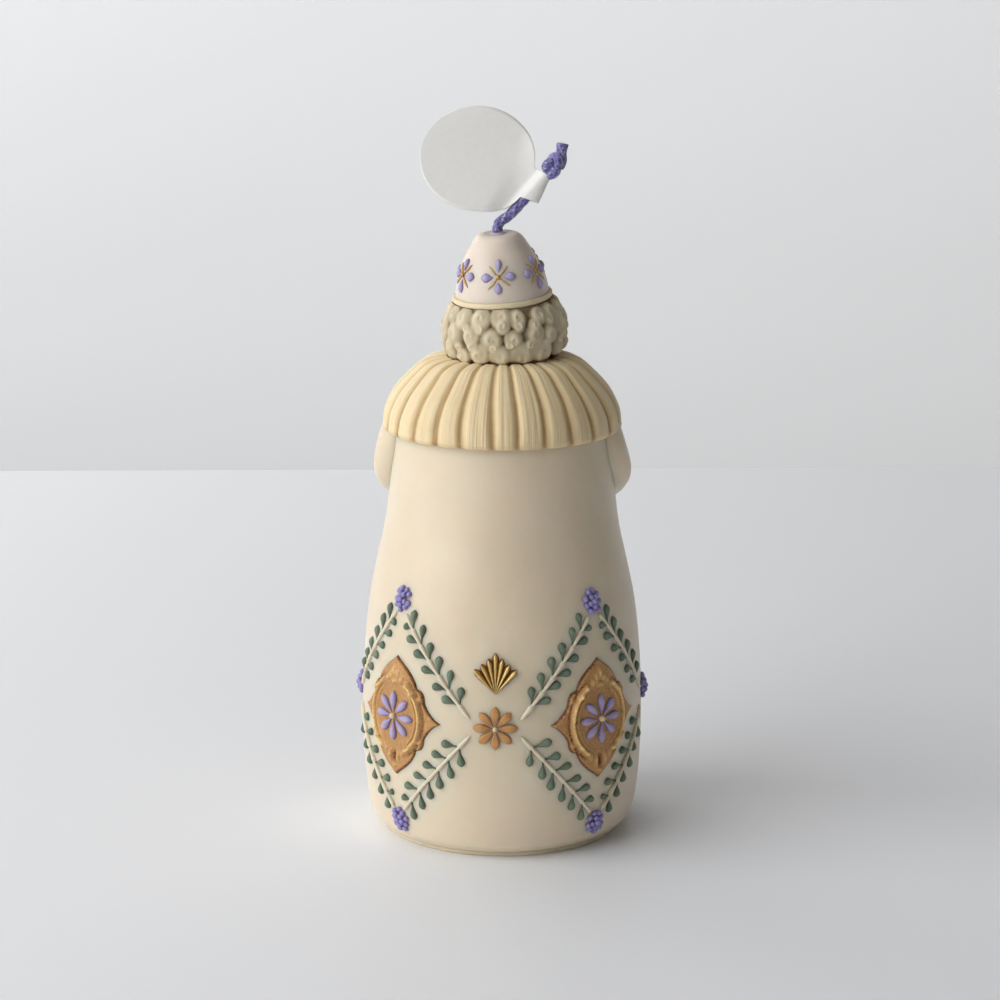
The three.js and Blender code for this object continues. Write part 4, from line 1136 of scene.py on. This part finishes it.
def eyes():
    """Two dark painted eyes between wax lids, and a brow over each."""
    balls = []
    lids = []
    brows = []
    for sign in (-1, 1):
        centre = on_face(sign * EYE_X, EYE_Z, -1.15)
        balls.append(skin(ball(centre, EYE_RADII, 20, 30)))
        across = np.linspace(-1, 1, 24)
        for rise, thick in ((0.62, 0.36), (-0.62, 0.28)):
            x = centre[0] + 1.5 * across
            y = centre[1] - 1.12 + 0.62 * across**2
            z = centre[2] + rise * (1 - across**2) - 0.1 * sign * across
            lids.append(tube(np.stack([x, y, z], 1), thick * round_ends(across), 16))
        across = np.linspace(-1, 1, 36)
        line = np.array([on_face(sign * EYE_X + 2.3 * a, BROW_Z + 0.75 * (1 - a**2), 0.35) for a in across])
        strands = 1 + 0.09 * np.sin(9 * circle(40)[None] + 6 * across[:, None])
        brows.append(tube(line, 0.62 * round_ends(across)[:, None] * strands, 40, squash=0.8))
    piece("eyes", balls, EYE)
    piece("eyelids", lids, SKIN)
    piece("brows", brows, HAIR)


def round_ends(across):
    """Widths from 1 in the middle to almost nothing at both ends, for across from -1 to 1."""
    return np.sqrt(np.clip(1.02 - across**2, 0.02, 1))


def nose():
    """A round nose with two low wings and a shallow nostril under each."""
    unit = ball((0, 0, 0), (1, 1, 1), 48, 72)
    x, y, z = (unit[..., k] for k in range(3))
    size = np.ones_like(x)
    for sign in (-1, 1):
        size = size + 0.16 * bell(np.hypot((x - sign * 0.72) / 0.28, (z + 0.35) / 0.34))
        size = size - 0.12 * bell(np.hypot((x - sign * 0.38) / 0.14, (y + 0.45) / 0.2)) * (z < 0)
    points = np.array(NOSE_CENTRE) + unit * np.array(NOSE_RADII) * size[..., None]
    piece("nose_bulb", [skin(points)], SKIN, stands_for=("nose",))


def moustache():
    """Two swept locks that meet under the nose, combed along their length."""
    rng = np.random.default_rng(17)
    half = through(MOUSTACHE_HALF, 90)
    t = np.linspace(0, 1, 90)[:, None]
    turn = circle(180)[None]
    full = MOUSTACHE_RADIUS * np.clip(np.sin(np.pi * (0.2 + 0.8 * t)), 0.02, 1) ** 0.75
    full = full * (0.5 + 0.5 * smoothstep(t * 7))
    strand = smooth_noise(rng, 26, 180)[None] * smooth_window(180).T
    fine = smooth_noise(rng, 70, 180)[None] * smooth_window(180).T
    combed = 0.8 * np.abs(np.sin(4 * turn + 1.2 * t)) ** 0.6 + 0.35 * strand + 0.15 * fine
    radius = full * (0.86 + 0.17 * combed)
    # Painted shade and highlight: lighter on the combed strands, darker between them.
    relief = np.clip(0.25 + 0.65 * combed, 0, 1)
    locks = [tube(mirrored(half, side), radius, 180, relief, squash=0.95) for side in (1.0, -1.0)]
    piece("moustache_locks", locks, HAIR, stands_for=("moustache",))


# ---- Arms ----
arm_line = through(ARM_PATH, 300)


def arm_stretch(share):
    """The part of the arm's line between two shares of its length."""
    first, last = (int(end * len(arm_line)) for end in share)
    return arm_line[first:last]


def sleeve(side, label):
    """A smooth sleeve from under the hair to the cuff, with three soft folds at the elbow."""
    path = arm_stretch(SLEEVE_SHARE)
    t = np.linspace(0, 1, len(path))
    turn = circle(48)[None]
    full = ARM_RADIUS * (0.8 + 0.2 * smoothstep(t * 6)) * (1 + 0.05 * smoothstep((t - 0.8) / 0.2))
    inner_side = 0.5 + 0.5 * np.cos(turn - 2.6)
    folds = sum(0.16 * bell((t[:, None] - at) / 0.022) * inner_side for at in (0.5, 0.58, 0.66))
    radius = full[:, None] - folds + 0.05 * np.sin(3 * turn + 9 * t[:, None])
    piece("arm_" + label, [tube(mirrored(path, side), radius, 48)], CREAM,
          stands_for=("sleeve_" + label,))


def cuff(side, label):
    """A short ring of fur curls round the wrist."""
    rng = np.random.default_rng(21)
    rows, columns = 60, 260
    path = through(arm_stretch(CUFF_SHARE), rows)
    length = arc_length(path)
    tall = length[-1]
    around = 2 * np.pi * CUFF_RADIUS
    s = np.broadcast_to((circle(columns) * around / (2 * np.pi))[None], (rows, columns))
    v = np.broadcast_to(length[:, None], s.shape)
    lumps = curl_rows(around, [(0.25 * tall, 9), (0.75 * tall, 9)], 1.9, rng)
    lumps += curl_rows(around, [(0.1 * tall, 14), (0.5 * tall, 14), (0.9 * tall, 14)], 1.0, rng)
    field = curl_field(s, v, around, lumps, rng)
    swell = np.sin(np.pi * (0.06 + 0.88 * np.linspace(0, 1, rows)))[:, None] ** 0.5
    radius = 3.4 + 0.75 * swell * (1 + field)
    # Painted shade: darker down in the crevices between the curls.
    relief = smoothstep((field - 0.25) / 0.75)
    piece("cuff_curls_" + label, [tube(mirrored(path, side), radius, columns, relief)], FUR,
          stands_for=("cuff_" + label,))


def mitten(side, label):
    """A closed hand whose end rests on the other one, with a thumb along its top."""
    start = int(MITTEN_START * len(arm_line))
    hand = through(list(arm_line[start:-22:12]) + [HANDS_MEET], 60)
    t = np.linspace(0, 1, 60)
    full = HAND_RADIUS * np.sqrt(np.clip(1 - np.abs(1.35 * t - 0.45) ** 3.2, 0.02, 1))
    thumb = through(THUMB_PATH, 30)
    thumb_full = THUMB_RADIUS * np.sqrt(np.clip(1 - np.abs(2 * np.linspace(0, 1, 30) - 1) ** 5, 0.03, 1))
    parts = [tube(mirrored(hand, side), full, 40, squash=0.92), tube(mirrored(thumb, side), thumb_full, 24)]
    piece("hand_" + label, parts, LAVENDER, stands_for=("mitten_" + label,))


# ---- Everything on the object ----
base_plate()
body()
fur_trim()
hat_band()
hat_dome()
hat_flowers()
hair()
beard()
head()
eyes()
nose()
moustache()
for label, side in (("left", 1.0), ("right", -1.0)):
    sleeve(side, label)
    cuff(side, label)
    mitten(side, label)
for k in range(DIAMONDS):
    angle = 45.0 + 90.0 * k
    medallion(k + 1, angle)
    daisy(k + 1, angle)
    berries(f"berry_heap_top_{k + 1}", angle, BERRIES_TOP_Z, f"berries_top_{k + 1}")
    berries(f"berry_heap_bottom_{k + 1}", angle, BERRIES_BOTTOM_Z, f"berries_bottom_{k + 1}")
    for across, letter in ((1.0, "a"), (-1.0, "b")):
        sprig(across, 1.0, angle, f"upper_{k + 1}{letter}")
        sprig(across, -1.0, angle, f"lower_{k + 1}{letter}")
for label, angle in (("back", 0.0), ("front", 180.0)):
    middle_flower(label, angle)
    gold_fan(label, angle)
for label, angle in (("left", -90.0), ("right", 90.0)):
    berries("berry_heap_" + label, angle, WAIST_Z + 1, "berries_side_" + label)

# These two CAD nodes keep their own shape and only get a material.
for name, material in {"wick_sustainer": METAL, "wick_core": COTTON}.items():
    materials = frame["nodes"][name].data.materials
    materials.clear()
    materials.append(material)


# ---- Room and light: heights and distances in millimetres ----
TABLE_BACK = -350.0
WALL_BACK = -760.0
WALL_FOOT = -400.0
WALL_HEAD = 420.0
WALL_REACH = 1500.0
TABLE_TURN = math.radians(3.6)
ROOM = 2500.0
EDGE_ROUND = 6.0
EDGE_DROP = 60.0
FAR_HALF_ANGLE = 112.0

FLOOR = surface("studio_floor", [(0.0, (247, 249, 253)), (1.0, (250, 252, 255))], grain=(0.02, 0.3),
                bump=((2.0, 0.01),), Roughness=0.55)
WALL = surface("studio_wall", [(0.0, (246, 247, 249)), (1.0, (250, 251, 253))], grain=(0.01, 0.3),
               bump=((1.0, 0.01),), Roughness=0.8, Emission_Color=(0.985, 0.99, 1.0, 1.0),
               Emission_Strength=0.28)
GLOW = surface("far_glow", [(0.0, (200, 198, 194)), (1.0, (206, 204, 200))], grain=(0.01, 0.3),
               bump=((1.0, 0.01),), Roughness=0.9, Emission_Color=(1.0, 0.955, 0.89, 1.0),
               Emission_Strength=0.03)


def sheet(name, rows, material):
    """A sheet of the room between two rows of points."""
    count = len(rows[0])
    faces = [(i, i + 1, count + i + 1, count + i) for i in range(count - 1)]
    points = [tuple(coordinate * MM for coordinate in point) for row in rows for point in row]
    mesh_object(name, points, faces, material)


def sweep(name, profile, back, material, reach):
    """A sheet that runs reach to each side. profile lists (distance in front of the back line, height)."""
    cos, sin = math.cos(TABLE_TURN), math.sin(TABLE_TURN)
    rows = [[(side * cos - distance * sin, back + side * sin + distance * cos, height)
             for distance, height in profile] for side in (-reach, reach)]
    sheet(name, rows, material)


def far_room():
    """The glowing far side of the room, a half ring behind the camera that softens the shaded side."""
    turns = np.radians(np.linspace(-FAR_HALF_ANGLE, FAR_HALF_ANGLE, 45))
    rows = [[(ROOM * math.sin(turn), ROOM * math.cos(turn), height) for turn in turns]
            for height in (WALL_FOOT, ROOM)]
    sheet("far_room", rows, GLOW)


def backdrop():
    """A long table with a rounded back edge, and a wall well behind it."""
    quarter = np.linspace(0, math.pi / 2, 9)
    edge = [(EDGE_ROUND * (1 - math.sin(a)), EDGE_ROUND * (math.cos(a) - 1)) for a in quarter]
    sweep("table", [(2 * ROOM, 0.0)] + edge + [(0.0, -EDGE_DROP)], TABLE_BACK, FLOOR, ROOM)
    sweep("wall", [(0.0, WALL_FOOT), (0.0, WALL_HEAD)], WALL_BACK, WALL, WALL_REACH)


backdrop()
far_room()


def area_light(name, spot, target, size, power, color):
    """A rectangular light at a spot, aimed at a target. power is in watts."""
    data = bpy.data.lights.new(name, "AREA")
    data.shape = "RECTANGLE"
    data.size, data.size_y = (side * MM for side in size)
    data.energy = power
    data.color = color
    made = bpy.data.objects.new(name, data)
    scene.collection.objects.link(made)
    place = Vector(spot) * MM
    aim = (Vector(target) * MM - place).to_track_quat("-Z", "Y")
    made.matrix_world = Matrix.Translation(place) @ aim.to_matrix().to_4x4()


area_light("window", (1000, 560, 560), (0, 0, 60), (1500, 1100), 14.6, (0.985, 0.995, 1.0))
area_light("ceiling", (500, -100, 1500), (0, -100, 0), (1800, 1800), 8.8, (0.99, 0.985, 0.98))
area_light("face_fill", (330, -420, 340), (0, 0, 80), (420, 200), 0.4, (1.0, 0.96, 0.9))

world = bpy.data.worlds.new("room")
world.use_nodes = True
world.node_tree.nodes["Background"].inputs["Color"].default_value = (1.0, 0.93, 0.84, 1.0)
world.node_tree.nodes["Background"].inputs["Strength"].default_value = 0.04
scene.world = world
scene.view_settings.view_transform = "Standard"
